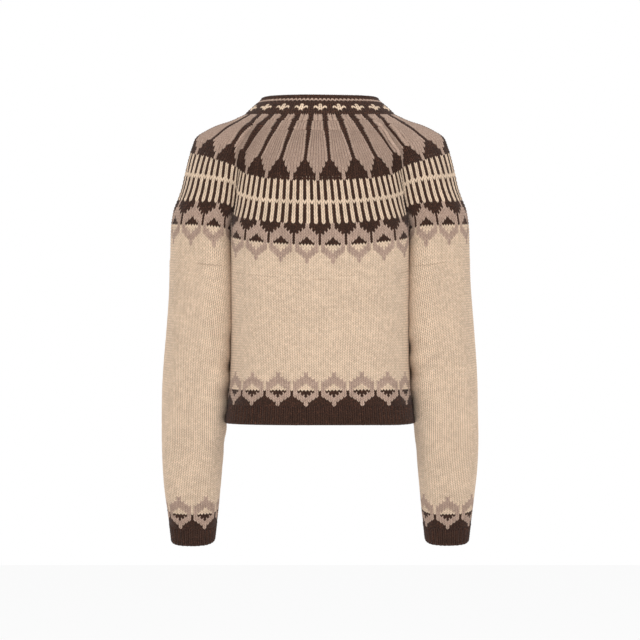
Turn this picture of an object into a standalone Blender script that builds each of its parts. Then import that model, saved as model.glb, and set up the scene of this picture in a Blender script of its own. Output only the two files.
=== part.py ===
"""A cropped round-yoke cardigan in colour-work knitting, filled out as if worn.

The frame: metres, +Z up, the wearer faces -Y and the wearer's left is +X. The origin is the middle of
the neck opening at the foot of the neckband. The cloth is a wall of even thickness: every piece is a
grid of points on its outer face, and the same grid moved inwards.

Columns are counted in "eyes", the eye-shaped repeat of the knitted border: 0 is the centre back, 8.5 the
outside of the arm and 17 the centre front, and negative counts run round the wearer's right side.
"""

from collections import namedtuple

import bpy
import numpy as np

# Cloth
WALL = 0.0026
GAP = 0.0003
RIB_RISE = 0.0011

# Neck opening and neckband
NECK_HALF_WIDTH = 0.121
NECK_HALF_DEPTH = 0.085
NECK_BACK_DROP = 0.0044
NECK_FRONT_DROP = 0.026
RIM_HALF_WIDTH = 0.0905
RIM_HALF_DEPTH = 0.0585
BAND_HEIGHT = 0.0262
BAND_BACK_RISE = 0.0056
BAND_FRONT_RISE = 0.0028
BAND_SWELL = 0.0016
BAND_WALL = 0.0032
BAND_ROWS = (0.0, 0.07, 0.5, 0.99)
BAND_ROW_WALL = (0.55, 1.0, 1.0, 0.9)
NECK_CROWD = 0.10

# Columns of the yoke
EYES_HALF_ROUND = 17.0
EYE_AT_SHOULDER = 8.5
EYE_AT_FOLD = 4.4
FOLD_CROWD = 0.45
FOLD_CROWD_WIDTH = 0.9
FRONT_SQUEEZE_FROM = 15.0

# Where the yoke ends and body and sleeves part
YOKE_BACK_DROP = 0.262
YOKE_ARM_RISE = 0.032
YOKE_FRONT_EXTRA = 0.012
YOKE_SQUARING = 0.35
YOKE_ROWS = (0.0015, 0.06, 0.14, 0.23, 0.31, 0.39, 0.48, 0.58, 0.69, 0.79, 0.90, 0.9985)
UNDERARM_HALF = 0.012
FOLD_STARTS = 0.36

# Body and sleeves
TORSO_POWER = 2.8
SLEEVE_SQUARE = 0.05
SLEEVE_EVEN = 0.035
SIDE_SHARE = 0.5
HEM_DROP = 0.490
HEM_RIB_HEIGHT = 0.030
CUFF_DROP = 0.680
CUFF_RIB_HEIGHT = 0.028
ELBOW_DROP = 0.30
ELBOW_BEND = 0.346

# Front bands and buttons
BUTTON_BAND_HALF = 0.015
BAND_SEAM_LAP = 0.002
BUTTON_COUNT = 7
BUTTON_MARGIN = 0.014
BUTTON_RADIUS = 0.009
BUTTON_THICK = 0.0034
BUTTON_SIDES = 18
BUTTON_RINGS = (0.55, 0.94, 1.0, 0.93, 0.80, 0.70)
BUTTON_LEVELS = (0.0, 0.0, 0.45, 0.95, 1.0, 0.62)

# Counts of ribs, mesh rows and mesh columns
HEM_RIB_PITCH = 0.0070
CUFF_RIBS = 34
BAND_RIBS = 5
NECKBAND_COLUMNS = 18
YOKE_COLUMN_STEP = 0.55
FOLD_COLUMNS = (-0.35, -0.12, -0.012, 0.012, 0.12, 0.35)
YOKE_PANELS = (
    "yoke_front_right", "yoke_shoulder_right", "yoke_back", "yoke_shoulder_left", "yoke_front_left",
)
BACK_COLUMNS = 29
FRONT_COLUMNS = 14
BODY_ROWS = 7
SLEEVE_COLUMNS = 24
SLEEVE_ROWS = 14
TURN_SAMPLES = 2001

Shoulder = namedtuple("Shoulder", "share half_width drop")
SHOULDER = (
    Shoulder(0.000, 0.1210, 0.0000),
    Shoulder(0.090, 0.1440, 0.0094),
    Shoulder(0.180, 0.1680, 0.0170),
    Shoulder(0.252, 0.1828, 0.0250),
    Shoulder(0.311, 0.1960, 0.0350),
    Shoulder(0.378, 0.2026, 0.0510),
    Shoulder(0.450, 0.2080, 0.0680),
    Shoulder(0.545, 0.2147, 0.0940),
    Shoulder(0.608, 0.2200, 0.1150),
    Shoulder(0.667, 0.2270, 0.1340),
    Shoulder(0.712, 0.2330, 0.1480),
    Shoulder(0.766, 0.2365, 0.1640),
    Shoulder(0.901, 0.2390, 0.2030),
    Shoulder(1.000, 0.2395, 0.2300),
)

Back = namedtuple("Back", "share half_depth drop")
BACK = (
    Back(0.000, 0.0850, 0.0044),
    Back(0.080, 0.0955, 0.0220),
    Back(0.200, 0.1045, 0.0520),
    Back(0.414, 0.1100, 0.1085),
    Back(0.669, 0.1110, 0.1757),
    Back(0.901, 0.1080, 0.2366),
    Back(1.000, 0.1065, 0.2620),
)

Torso = namedtuple("Torso", "drop half_width half_depth")
TORSO = (
    Torso(0.200, 0.1432, 0.1080),
    Torso(0.262, 0.1431, 0.1065),
    Torso(0.330, 0.1422, 0.1050),
    Torso(0.380, 0.1422, 0.1045),
    Torso(0.424, 0.1434, 0.1050),
    Torso(0.460, 0.1462, 0.1065),
    Torso(0.490, 0.1488, 0.1080),
)

Sleeve = namedtuple("Sleeve", "drop centre half_width half_depth")
SLEEVE = (
    Sleeve(0.200, 0.1915, 0.0475, 0.0550),
    Sleeve(0.230, 0.1918, 0.0477, 0.0555),
    Sleeve(0.339, 0.1940, 0.0504, 0.0560),
    Sleeve(0.454, 0.1990, 0.0520, 0.0545),
    Sleeve(0.514, 0.2040, 0.0485, 0.0520),
    Sleeve(0.560, 0.2045, 0.0465, 0.0490),
    Sleeve(0.597, 0.2050, 0.0435, 0.0450),
    Sleeve(0.634, 0.2050, 0.0398, 0.0410),
    Sleeve(0.661, 0.2052, 0.0366, 0.0375),
    Sleeve(0.680, 0.2054, 0.0345, 0.0350),
)

DARK_WOOL = (0.048, 0.025, 0.018)
CREAM_WOOL = (0.76, 0.61, 0.45)
HORN = (0.16, 0.09, 0.05)


def curve(table, column, at):
    """Reads a column of a table at any place, on a cubic through its rows with their mean slopes."""
    knots = np.array([row[0] for row in table])
    values = np.array([getattr(row, column) for row in table])
    slopes = np.gradient(values, knots)
    i = np.clip(np.searchsorted(knots, at, side="right") - 1, 0, len(knots) - 2)
    step = knots[i + 1] - knots[i]
    s = np.clip((at - knots[i]) / step, 0, 1)
    start = values[i] * (1 + 2 * s) * (1 - s) ** 2 + slopes[i] * step * s * (1 - s) ** 2
    end = values[i + 1] * (3 - 2 * s) * s**2 + slopes[i + 1] * step * (s - 1) * s**2
    return start + end


def smoothstep(x):
    """0 below 0, 1 above 1, and an S between."""
    x = np.clip(x, 0, 1)
    return x * x * (3 - 2 * x)


def turn_of_share(half_width, half_depth, power):
    """Angles of a superellipse's quarter turns, back to side to front, at equal steps of its length."""
    angle = np.linspace(0, np.pi, TURN_SAMPLES)
    x, y = ring_xy(angle, half_width, half_depth, power)
    length = np.concatenate([[0], np.cumsum(np.hypot(np.diff(x), np.diff(y)))])
    return length / length[-1], angle, length[-1]


def ring_xy(angle, half_width, half_depth, power):
    """A superellipse: the sine and cosine of the angle raised to 2 / power, times the half sizes."""
    x = half_width * np.sign(np.sin(angle)) * np.abs(np.sin(angle)) ** (2 / power)
    y = half_depth * np.sign(np.cos(angle)) * np.abs(np.cos(angle)) ** (2 / power)
    return x, y


NECK_SHARE, NECK_ANGLE, NECK_HALF_ROUND = turn_of_share(NECK_HALF_WIDTH, NECK_HALF_DEPTH, 2)
RIM_SHARE, RIM_ANGLE, RIM_HALF_ROUND = turn_of_share(RIM_HALF_WIDTH, RIM_HALF_DEPTH, 2)
TORSO_SHARE, TORSO_ANGLE, TORSO_HALF_ROUND = turn_of_share(
    TORSO[1].half_width, TORSO[1].half_depth, TORSO_POWER
)


def torso_point(share, drop):
    """A point of the body tube: share 0 is the centre back, 0.5 the side and 1 the centre front."""
    angle = np.interp(np.abs(share), TORSO_SHARE, TORSO_ANGLE)
    x, y = ring_xy(angle, curve(TORSO, "half_width", drop), curve(TORSO, "half_depth", drop), TORSO_POWER)
    return np.stack([np.sign(share) * x, y, -drop + 0 * x], axis=-1)


def squared_ring(angle):
    """A circle pushed out at its diagonals by the third overtone of its sine and cosine."""
    turn = angle - SLEEVE_EVEN * np.sin(4 * angle)
    across = (1 + SLEEVE_SQUARE) * np.sin(turn) + SLEEVE_SQUARE * np.sin(3 * turn)
    deep = (1 + SLEEVE_SQUARE) * np.cos(turn) - SLEEVE_SQUARE * np.cos(3 * turn)
    return across, deep


def sleeve_point(angle, drop):
    """A point of the left sleeve: angle 0 is its back, a quarter turn its outside, along a bent axis."""
    lean = np.maximum(drop - ELBOW_DROP, 0)
    tilt = np.arctan(2 * ELBOW_BEND * lean)
    across, deep = squared_ring(angle)
    depth = curve(SLEEVE, "half_depth", drop) * deep
    x = curve(SLEEVE, "centre", drop) + curve(SLEEVE, "half_width", drop) * across
    y = -ELBOW_BEND * lean**2 + depth * np.cos(tilt)
    z = -drop - depth * np.sin(tilt)
    return np.stack([x, y, z], axis=-1)


INNER_BACK = np.linspace(-np.pi / 2, 0, TURN_SAMPLES)
FOLD_SHARE = SIDE_SHARE - UNDERARM_HALF / TORSO_HALF_ROUND
FOLD_ANGLE = float(np.interp(UNDERARM_HALF / SLEEVE[1].half_depth, squared_ring(INNER_BACK)[1], INNER_BACK))


def crowding():
    """Lengths of cloth along the yoke's lower edge for each eye, a little longer in the underarm fold."""
    eye = np.linspace(0, EYE_AT_SHOULDER, TURN_SAMPLES)
    rate = 1 + FOLD_CROWD * np.exp(-(((eye - EYE_AT_FOLD) / FOLD_CROWD_WIDTH) ** 2))
    return eye, np.concatenate([[0], np.cumsum((rate[1:] + rate[:-1]) / 2)])


CROWD_EYE, CROWD_LENGTH = crowding()
CROWD_AT_FOLD = np.interp(EYE_AT_FOLD, CROWD_EYE, CROWD_LENGTH)


def parting_drop(eye):
    """How far down the yoke ends: lowest at the centre front, highest on the arm."""
    eye = np.abs(eye)
    arm = np.sin(np.pi * eye / EYES_HALF_ROUND) ** 2
    front = np.sin(np.pi / 2 * np.clip(eye / EYE_AT_SHOULDER - 1, 0, 1)) ** 2
    return YOKE_BACK_DROP - YOKE_ARM_RISE * arm + YOKE_FRONT_EXTRA * front


def parting_turns(eye):
    """The body's share and the sleeve's angle at each eye, the same forwards and backwards of the arm."""
    eye = np.abs(eye)
    near = np.minimum(eye, EYES_HALF_ROUND - eye)
    length = np.interp(near, CROWD_EYE, CROWD_LENGTH)
    share = FOLD_SHARE * length / CROWD_AT_FOLD
    past = (length - CROWD_AT_FOLD) / (CROWD_LENGTH[-1] - CROWD_AT_FOLD)
    angle = FOLD_ANGLE + (np.pi / 2 - FOLD_ANGLE) * past
    behind = eye <= EYE_AT_SHOULDER
    return np.where(behind, share, 1 - share), np.where(behind, angle, np.pi - angle), near


def parting_point(eye):
    """The yoke's lower edge: round the back, in to the underarm fold, and out round the arm."""
    share, angle, near = parting_turns(eye)
    drop = parting_drop(eye)
    on_body = near <= EYE_AT_FOLD
    body = torso_point(np.clip(share, 0, 1), drop)
    sleeve = sleeve_point(angle, drop)
    return np.where(on_body[..., None], body, sleeve)


def neck_share(eye):
    """The share of the neck's half round at each eye: columns lie closer at the back and the front."""
    share = np.abs(eye) / EYES_HALF_ROUND
    return share - NECK_CROWD * np.sin(2 * np.pi * share) / (2 * np.pi)


def neck_point(eye):
    """The foot of the neckband, an ellipse that dips at the front."""
    turn = np.interp(neck_share(eye), NECK_SHARE, NECK_ANGLE)
    x, y = ring_xy(turn, NECK_HALF_WIDTH, NECK_HALF_DEPTH, 2)
    back = np.maximum(y, 0) / NECK_HALF_DEPTH
    front = np.maximum(-y, 0) / NECK_HALF_DEPTH
    z = -NECK_BACK_DROP * back**2 - NECK_FRONT_DROP * front**2
    return np.stack([x, y, z], axis=-1)


def yoke_point(eye, share):
    """A point of the yoke: each column runs from the neck, over the shoulder, to the lower edge.

    Sideways it follows the shoulder's outline. Front to back it is a superellipse that gives way to the
    three-lobed lower edge, and downwards it goes between the back's fall and the shoulder's.
    """
    neck = neck_point(eye)
    foot = parting_point(eye)
    widest = curve(SHOULDER, "half_width", share)
    reach = (widest - NECK_HALF_WIDTH) / (SHOULDER[-1].half_width - NECK_HALF_WIDTH)
    x = neck[..., 0] + (foot[..., 0] - neck[..., 0]) * reach
    power = 2 + YOKE_SQUARING * share
    inside = np.clip(1 - (x / widest) ** power, 0, 1)
    facing = np.where(np.abs(eye) <= EYE_AT_SHOULDER, 1, -1)
    y_round = facing * curve(BACK, "half_depth", share) * inside ** (1 / power)
    parted = smoothstep((share - FOLD_STARTS) / (1 - FOLD_STARTS))
    y = y_round * (1 - parted) + foot[..., 1] * parted
    arm = np.sin(np.pi * np.abs(eye) / EYES_HALF_ROUND) ** 4
    back_fall = (curve(BACK, "drop", share) - NECK_BACK_DROP) / (YOKE_BACK_DROP - NECK_BACK_DROP)
    arm_fall = curve(SHOULDER, "drop", share) / SHOULDER[-1].drop
    fall = back_fall * (1 - arm) + arm_fall * arm
    z = neck[..., 2] + (foot[..., 2] - neck[..., 2]) * fall
    return np.stack([np.sign(eye) * x, y, z], axis=-1)


def band_point(eye, share):
    """A point of the neckband: share 0 is its rolled rim, 1 its foot, leaning in towards the neck."""
    neck = neck_point(eye)
    turn = np.interp(neck_share(eye), RIM_SHARE, RIM_ANGLE)
    x, y = ring_xy(turn, RIM_HALF_WIDTH, RIM_HALF_DEPTH, 2)
    back = np.maximum(y, 0) / RIM_HALF_DEPTH
    front = np.maximum(-y, 0) / RIM_HALF_DEPTH
    height = BAND_HEIGHT + BAND_BACK_RISE * back + BAND_FRONT_RISE * front
    x = x + (neck[..., 0] - x) * share
    y = y + (neck[..., 1] - y) * share
    z = neck[..., 2] + height * (1 - share) + BAND_SWELL * np.sin(np.pi * share)
    return np.stack([np.sign(eye) * x, y, z], axis=-1)


NECK_EYE = (1 - NECK_CROWD) * NECK_HALF_ROUND / EYES_HALF_ROUND
RIM_EYE = (1 - NECK_CROWD) * RIM_HALF_ROUND / EYES_HALF_ROUND
PARTING_EYE = float(parting_point(np.array([EYES_HALF_ROUND - 0.4]))[0, 0]) / 0.4
PARTING_EDGE = EYES_HALF_ROUND - BUTTON_BAND_HALF / PARTING_EYE


def yoke_edge(share):
    """The eye count at the yoke's front edge, where the cloth stops beside the button band."""
    widest = curve(SHOULDER, "half_width", share)
    reach = (widest - NECK_HALF_WIDTH) / (SHOULDER[-1].half_width - NECK_HALF_WIDTH)
    return EYES_HALF_ROUND - BUTTON_BAND_HALF / (NECK_EYE + (PARTING_EYE - NECK_EYE) * reach)


def band_edge(share):
    """The eye count at the neckband's front edge."""
    return EYES_HALF_ROUND - BUTTON_BAND_HALF / (RIM_EYE + (NECK_EYE - RIM_EYE) * share)


def fit_front(eye, edge):
    """Squeezes the last columns so that the front edge stays straight beside the button band."""
    past = np.abs(eye) - FRONT_SQUEEZE_FROM
    room = (edge - FRONT_SQUEEZE_FROM) / (PARTING_EDGE - FRONT_SQUEEZE_FROM)
    return np.sign(eye) * np.where(past > 0, FRONT_SQUEEZE_FROM + past * room, np.abs(eye))


def face_normals(points, round_it):
    """Unit normals of a grid that runs down its rows and round its columns, pointing out."""
    if round_it:
        across = np.roll(points, -1, axis=1) - np.roll(points, 1, axis=1)
    else:
        across = np.gradient(points, axis=1)
    down = np.gradient(points, axis=0)
    normal = np.cross(across, down)
    return normal / np.maximum(np.linalg.norm(normal, axis=-1, keepdims=True), 1e-12)


def quads(index, flip=False):
    """The four corners of every cell of a grid of vertex numbers."""
    cells = np.stack([index[:-1, :-1], index[1:, :-1], index[1:, 1:], index[:-1, 1:]], axis=-1)
    cells = cells.reshape(-1, 4)
    return cells[:, ::-1] if flip else cells


def rim(outer, inner):
    """Faces that close one edge, from the outer row of vertices to the inner, one or two to one."""
    ratio = (len(outer) - 1) // (len(inner) - 1)
    if ratio == 1:
        return [list(face) for face in zip(outer[:-1], outer[1:], inner[1:], inner[:-1])]
    faces = []
    for i in range(len(inner) - 1):
        low, top, high = outer[2 * i], outer[2 * i + 1], outer[2 * i + 2]
        faces += [[low, top, inner[i]], [top, inner[i + 1], inner[i]], [top, high, inner[i + 1]]]
    return faces


def signed_volume(points, faces):
    """The sum of the tetrahedra from the origin to each face, positive when the faces point out."""
    total = 0.0
    for face in faces:
        for i in range(1, len(face) - 1):
            a, b, c = points[face[0]], points[face[i]], points[face[i + 1]]
            total += float(np.dot(a, np.cross(b, c))) / 6
    return total


def add_object(name, points, faces, material):
    """Makes a mesh object with its faces pointing out and smooth but for its sharp edges."""
    if signed_volume(points, faces) < 0:
        faces = [list(reversed(face)) for face in faces]
    mesh = bpy.data.meshes.new(name)
    mesh.from_pydata([tuple(p) for p in points], [], [[int(v) for v in f] for f in faces])
    mesh.shade_smooth()
    mesh.set_sharp_from_angle(angle=np.radians(50))
    mesh.materials.append(material)
    obj = bpy.data.objects.new(name, mesh)
    bpy.context.scene.collection.objects.link(obj)
    return obj


def add_wall(name, outer, inner, material, round_it=False):
    """Closes an outer and an inner grid into one wall. The inner grid has the same rows."""
    outer_ids = np.arange(outer.shape[0] * outer.shape[1]).reshape(outer.shape[:2])
    inner_ids = np.arange(inner.shape[0] * inner.shape[1]).reshape(inner.shape[:2]) + outer_ids.size
    if round_it:
        outer_ids = np.hstack([outer_ids, outer_ids[:, :1]])
        inner_ids = np.hstack([inner_ids, inner_ids[:, :1]])
    faces = [list(f) for f in quads(outer_ids)] + [list(f) for f in quads(inner_ids, flip=True)]
    faces += rim(outer_ids[0], inner_ids[0])
    faces += [list(reversed(face)) for face in rim(outer_ids[-1], inner_ids[-1])]
    if not round_it:
        first = (outer_ids[:-1, 0], inner_ids[:-1, 0], inner_ids[1:, 0], outer_ids[1:, 0])
        last = (outer_ids[:-1, -1], outer_ids[1:, -1], inner_ids[1:, -1], inner_ids[:-1, -1])
        faces += [list(face) for edge in (first, last) for face in zip(*edge)]
    points = np.vstack([outer.reshape(-1, 3), inner.reshape(-1, 3)])
    return add_object(name, points, faces, material)


def add_cloth(name, outer, material, round_it=False):
    """A plain wall under an outer grid."""
    inner = outer - face_normals(outer, round_it) * WALL
    return add_wall(name, outer, inner, material, round_it)


def add_ribs(name, base, material, round_it=False, plain=0):
    """A wall with a rib at every second column, but for some plain ones at both ends, and a plain inside."""
    normal = face_normals(base, round_it)
    rise = np.zeros(base.shape[1])
    rise[1 + 2 * plain : len(rise) - 2 * plain : 2] = RIB_RISE
    inner = (base - normal * WALL)[:, ::2]
    return add_wall(name, base + normal * rise[None, :, None], inner, material, round_it)


def mirrored(grid):
    """The same grid on the wearer's other side, its columns turned round to keep facing out."""
    return grid[:, ::-1] * np.array([-1.0, 1.0, 1.0])


def wool(name, colour, roughness=0.95):
    """A plain Principled material."""
    material = bpy.data.materials.new(name)
    material.use_nodes = True
    shader = material.node_tree.nodes["Principled BSDF"]
    shader.inputs["Base Color"].default_value = (*colour, 1)
    shader.inputs["Roughness"].default_value = roughness
    shader.inputs["Metallic"].default_value = 0.0
    return material


def yoke_columns():
    """Eye counts of the yoke's mesh columns, closer together at the underarm folds."""
    plain = np.arange(0.5, PARTING_EDGE, YOKE_COLUMN_STEP)
    folds = (EYE_AT_FOLD, EYES_HALF_ROUND - EYE_AT_FOLD)
    room = 1.2 * FOLD_COLUMNS[-1]
    plain = plain[np.min([np.abs(plain - fold) for fold in folds], axis=0) > room]
    close = np.concatenate([fold + np.array(FOLD_COLUMNS) for fold in folds])
    half = np.sort(np.concatenate([plain, close, [PARTING_EDGE]]))
    return np.concatenate([-half[::-1], [0.0], half])


def build_yoke(material):
    """The yoke, from the neckband's foot to where body and sleeves part: five panels, parted at the folds.

    The walls' lower edges are level, so that they stay clear of the body and the sleeves.
    """
    share = np.array(YOKE_ROWS)[:, None]
    columns = yoke_columns()
    eye = fit_front(columns[None, :], yoke_edge(share))
    outer = yoke_point(eye, share + 0 * eye)
    inner = outer - face_normals(outer, False) * WALL
    inner[-1, :, 2] = outer[-1, :, 2]
    front_fold = EYES_HALF_ROUND - EYE_AT_FOLD
    panel_of_column = np.searchsorted((-front_fold, -EYE_AT_FOLD, EYE_AT_FOLD, front_fold), columns)
    for number, name in enumerate(YOKE_PANELS):
        mine = panel_of_column == number
        add_wall(name, outer[:, mine], inner[:, mine], material)


def build_neckband(material):
    """The neckband with its rolled rim."""
    columns = np.concatenate([np.linspace(0, FRONT_SQUEEZE_FROM, NECKBAND_COLUMNS), [PARTING_EDGE]])
    columns = np.concatenate([-columns[:0:-1], columns])
    share = np.array(BAND_ROWS)[:, None]
    eye = fit_front(columns[None, :], band_edge(share))
    outer = band_point(eye, share + 0 * eye)
    thick = np.array(BAND_ROW_WALL)[:, None, None] * BAND_WALL
    inner = outer - face_normals(outer, False) * thick
    add_wall("neckband", outer, inner, material)


def top_of_body(share):
    """How far down the body tube starts at each share of its half round."""
    eye = np.linspace(0, EYES_HALF_ROUND, 400)
    shares, _, near = parting_turns(eye)
    body = near <= EYE_AT_FOLD
    return np.interp(np.abs(share), shares[body], parting_drop(eye[body])) + GAP


def body_grid(shares):
    """Points of a body panel between the yoke and the hem rib."""
    start = top_of_body(shares)[None, :]
    down = np.linspace(0, 1, BODY_ROWS)[:, None]
    drop = start + (HEM_DROP - HEM_RIB_HEIGHT - start) * down
    return torso_point(shares[None, :] + 0 * drop, drop)


def hem_grid(shares):
    """Two rows of points for the ribbed hem."""
    drop = np.array([HEM_DROP - HEM_RIB_HEIGHT + GAP, HEM_DROP])[:, None]
    return torso_point(shares[None, :] + 0 * drop, drop + 0 * shares[None, :])


SEAM = GAP / 2 / TORSO_HALF_ROUND
FRONT_SHARE = 1 - BUTTON_BAND_HALF / TORSO_HALF_ROUND


def build_body(cream, dark):
    """Back and two fronts, with side seams under the sleeves, and their ribbed hems."""
    back = np.linspace(SEAM - SIDE_SHARE, SIDE_SHARE - SEAM, BACK_COLUMNS)
    front = np.linspace(SIDE_SHARE + SEAM, FRONT_SHARE, FRONT_COLUMNS)
    ribs_back = 2 * round(TORSO_HALF_ROUND / HEM_RIB_PITCH / 2) * 2
    ribs_front = 2 * round((FRONT_SHARE - SIDE_SHARE) * TORSO_HALF_ROUND / HEM_RIB_PITCH)
    back_ribs = np.linspace(back[0], back[-1], ribs_back + 1)
    front_ribs = np.linspace(front[0], front[-1], ribs_front + 1)
    add_cloth("body_back", body_grid(back), cream)
    add_cloth("body_front_left", body_grid(front), cream)
    add_cloth("body_front_right", mirrored(body_grid(front)), cream)
    add_ribs("hem_back", hem_grid(back_ribs), dark)
    add_ribs("hem_front_left", hem_grid(front_ribs), dark, plain=1)
    add_ribs("hem_front_right", mirrored(hem_grid(front_ribs)), dark, plain=1)


def top_of_sleeve(angle):
    """How far down the sleeve starts at each angle; the underarm stretch joins its two ends."""
    eye = np.linspace(EYE_AT_FOLD + 0.001, EYES_HALF_ROUND - EYE_AT_FOLD - 0.001, 300)
    _, angles, _ = parting_turns(eye)
    drop = parting_drop(eye)
    turned = (angle - FOLD_ANGLE) % (2 * np.pi) + FOLD_ANGLE
    angles = np.concatenate([angles, [FOLD_ANGLE + 2 * np.pi]])
    return np.interp(turned, angles, np.concatenate([drop, drop[:1]])) + GAP


def build_sleeves(cream, dark):
    """Two sleeves, bent a little forward at the elbow, and their ribbed cuffs.

    One column of the sleeve runs down from each underarm fold.
    """
    turn = np.linspace(0, 2 * np.pi, SLEEVE_COLUMNS + 1)[:-1]
    front_fold = np.pi - 2 * FOLD_ANGLE
    turn[np.argmin(np.abs(turn - front_fold))] = front_fold
    angle = FOLD_ANGLE + turn[None, :]
    down = np.linspace(0, 1, SLEEVE_ROWS)[:, None]
    start = top_of_sleeve(angle)
    end = CUFF_DROP - CUFF_RIB_HEIGHT
    sleeve = sleeve_point(angle + 0 * down, start + (end - start) * down)
    ribs = np.linspace(0, 2 * np.pi, 2 * CUFF_RIBS + 1)[None, :-1]
    drop = np.array([end + GAP, CUFF_DROP])[:, None]
    cuff = sleeve_point(ribs + 0 * drop, drop + 0 * ribs)
    add_cloth("sleeve_left", sleeve, cream, round_it=True)
    add_ribs("cuff_left", cuff, dark, round_it=True)
    add_cloth("sleeve_right", mirrored(sleeve), cream, round_it=True)
    add_ribs("cuff_right", np.roll(mirrored(cuff), 1, axis=1), dark, round_it=True)


def front_line():
    """The centre front from the neckband's rim to the hem, as y and z in one smooth line."""
    rim_part = band_point(np.full(4, EYES_HALF_ROUND), np.array([0.0, 0.3, 0.6, 0.9]))
    share = np.array([0.03, 0.10, 0.18, 0.27, 0.36, 0.46, 0.57, 0.68, 0.79, 0.90])
    yoke_part = yoke_point(np.full(len(share), EYES_HALF_ROUND), share)
    drop = np.linspace(parting_drop(EYES_HALF_ROUND), HEM_DROP, 9)
    body_part = torso_point(np.full(len(drop), 1.0), drop)
    line = np.vstack([rim_part, yoke_part, body_part])
    return line[:, 1:]


def band_grid(across, out):
    """A strip of cloth down the centre front, at the given places across, moved out by a distance."""
    line = front_line()
    along = np.gradient(line, axis=0)
    along /= np.linalg.norm(along, axis=1, keepdims=True)
    normal = np.stack([along[:, 1], -along[:, 0]], axis=1)
    placed = line + normal * out
    x = np.broadcast_to(across[None, :], (len(line), len(across)))
    y = np.broadcast_to(placed[:, :1], x.shape)
    z = np.broadcast_to(placed[:, 1:], x.shape)
    return np.stack([x, y, z], axis=-1), placed, normal


def build_bands(dark):
    """The left band lies in the front opening, and the right band laps over it."""
    under = np.linspace(BUTTON_BAND_HALF - GAP, -BUTTON_BAND_HALF + 2 * GAP, 3)
    under_grid, _, _ = band_grid(under, -GAP)
    add_cloth("button_band_left", under_grid, dark)
    over = np.linspace(BUTTON_BAND_HALF, -BUTTON_BAND_HALF - BAND_SEAM_LAP, 2 * BAND_RIBS + 1)
    over_grid, _, _ = band_grid(over, WALL + GAP)
    add_ribs("button_band_right", over_grid, dark)


def build_buttons(horn):
    """Turned buttons with a raised rim, seated on the right band's ribs."""
    _, placed, normal = band_grid(np.zeros(1), WALL + RIB_RISE + 2 * GAP)
    step = np.hypot(*np.diff(placed, axis=0).T)
    length = np.concatenate([[0], np.cumsum(step)])
    for i in range(BUTTON_COUNT):
        at = BUTTON_MARGIN + (length[-1] - 2 * BUTTON_MARGIN) * i / (BUTTON_COUNT - 1)
        y, z = (np.interp(at, length, placed[:, k]) for k in (0, 1))
        out = np.array([np.interp(at, length, normal[:, k]) for k in (0, 1)])
        out /= np.linalg.norm(out)
        add_button(f"button_{i + 1}", np.array([0.0, y, z]), np.array([0.0, out[0], out[1]]), horn)


def add_button(name, centre, axis, material):
    """A turned disc: flat back, rounded edge, raised rim and a dished face."""
    radius = np.array(BUTTON_RINGS) * BUTTON_RADIUS
    height = np.array(BUTTON_LEVELS) * BUTTON_THICK
    angle = 2 * np.pi * np.arange(BUTTON_SIDES) / BUTTON_SIDES
    sideways = np.array([1.0, 0.0, 0.0])
    upwards = np.cross(axis, sideways)
    rings = centre + np.stack(
        [
            r * (np.cos(angle)[:, None] * sideways + np.sin(angle)[:, None] * upwards) + h * axis
            for r, h in zip(radius, height)
        ]
    )
    ids = np.arange(len(radius) * BUTTON_SIDES).reshape(len(radius), BUTTON_SIDES)
    ids = np.hstack([ids, ids[:, :1]])
    faces = [list(f) for f in quads(ids)]
    faces.append([int(v) for v in ids[0, :-1]])
    faces.append([int(v) for v in ids[-1, -2::-1]])
    add_object(name, rings.reshape(-1, 3), faces, material)


def build_all():
    """Clears the scene and builds every piece."""
    for obj in list(bpy.data.objects):
        bpy.data.objects.remove(obj, do_unlink=True)
    dark = wool("dark_wool", DARK_WOOL)
    cream = wool("cream_wool", CREAM_WOOL)
    horn = wool("button_horn", HORN, 0.35)
    build_neckband(dark)
    build_yoke(dark)
    build_body(cream, dark)
    build_sleeves(cream, dark)
    build_bands(dark)
    build_buttons(horn)


build_all()
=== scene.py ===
# %% [markdown]
# # A round-yoke cardigan in colour-work knitting
#
# The cardigan is knitted wool: a fabric of small loops, each one a V, standing in columns. Its pattern is
# not printed on: every stitch is made in one of three yarns, dark brown, taupe or cream. So this script
# knits it. It lays a grid of stitches over the garment's form, gives every stitch its own small relief,
# and colours it from a chart, as a knitter would.
#
# The imported solids say how large the garment is and where every piece lies. They are loaded first.

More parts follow.
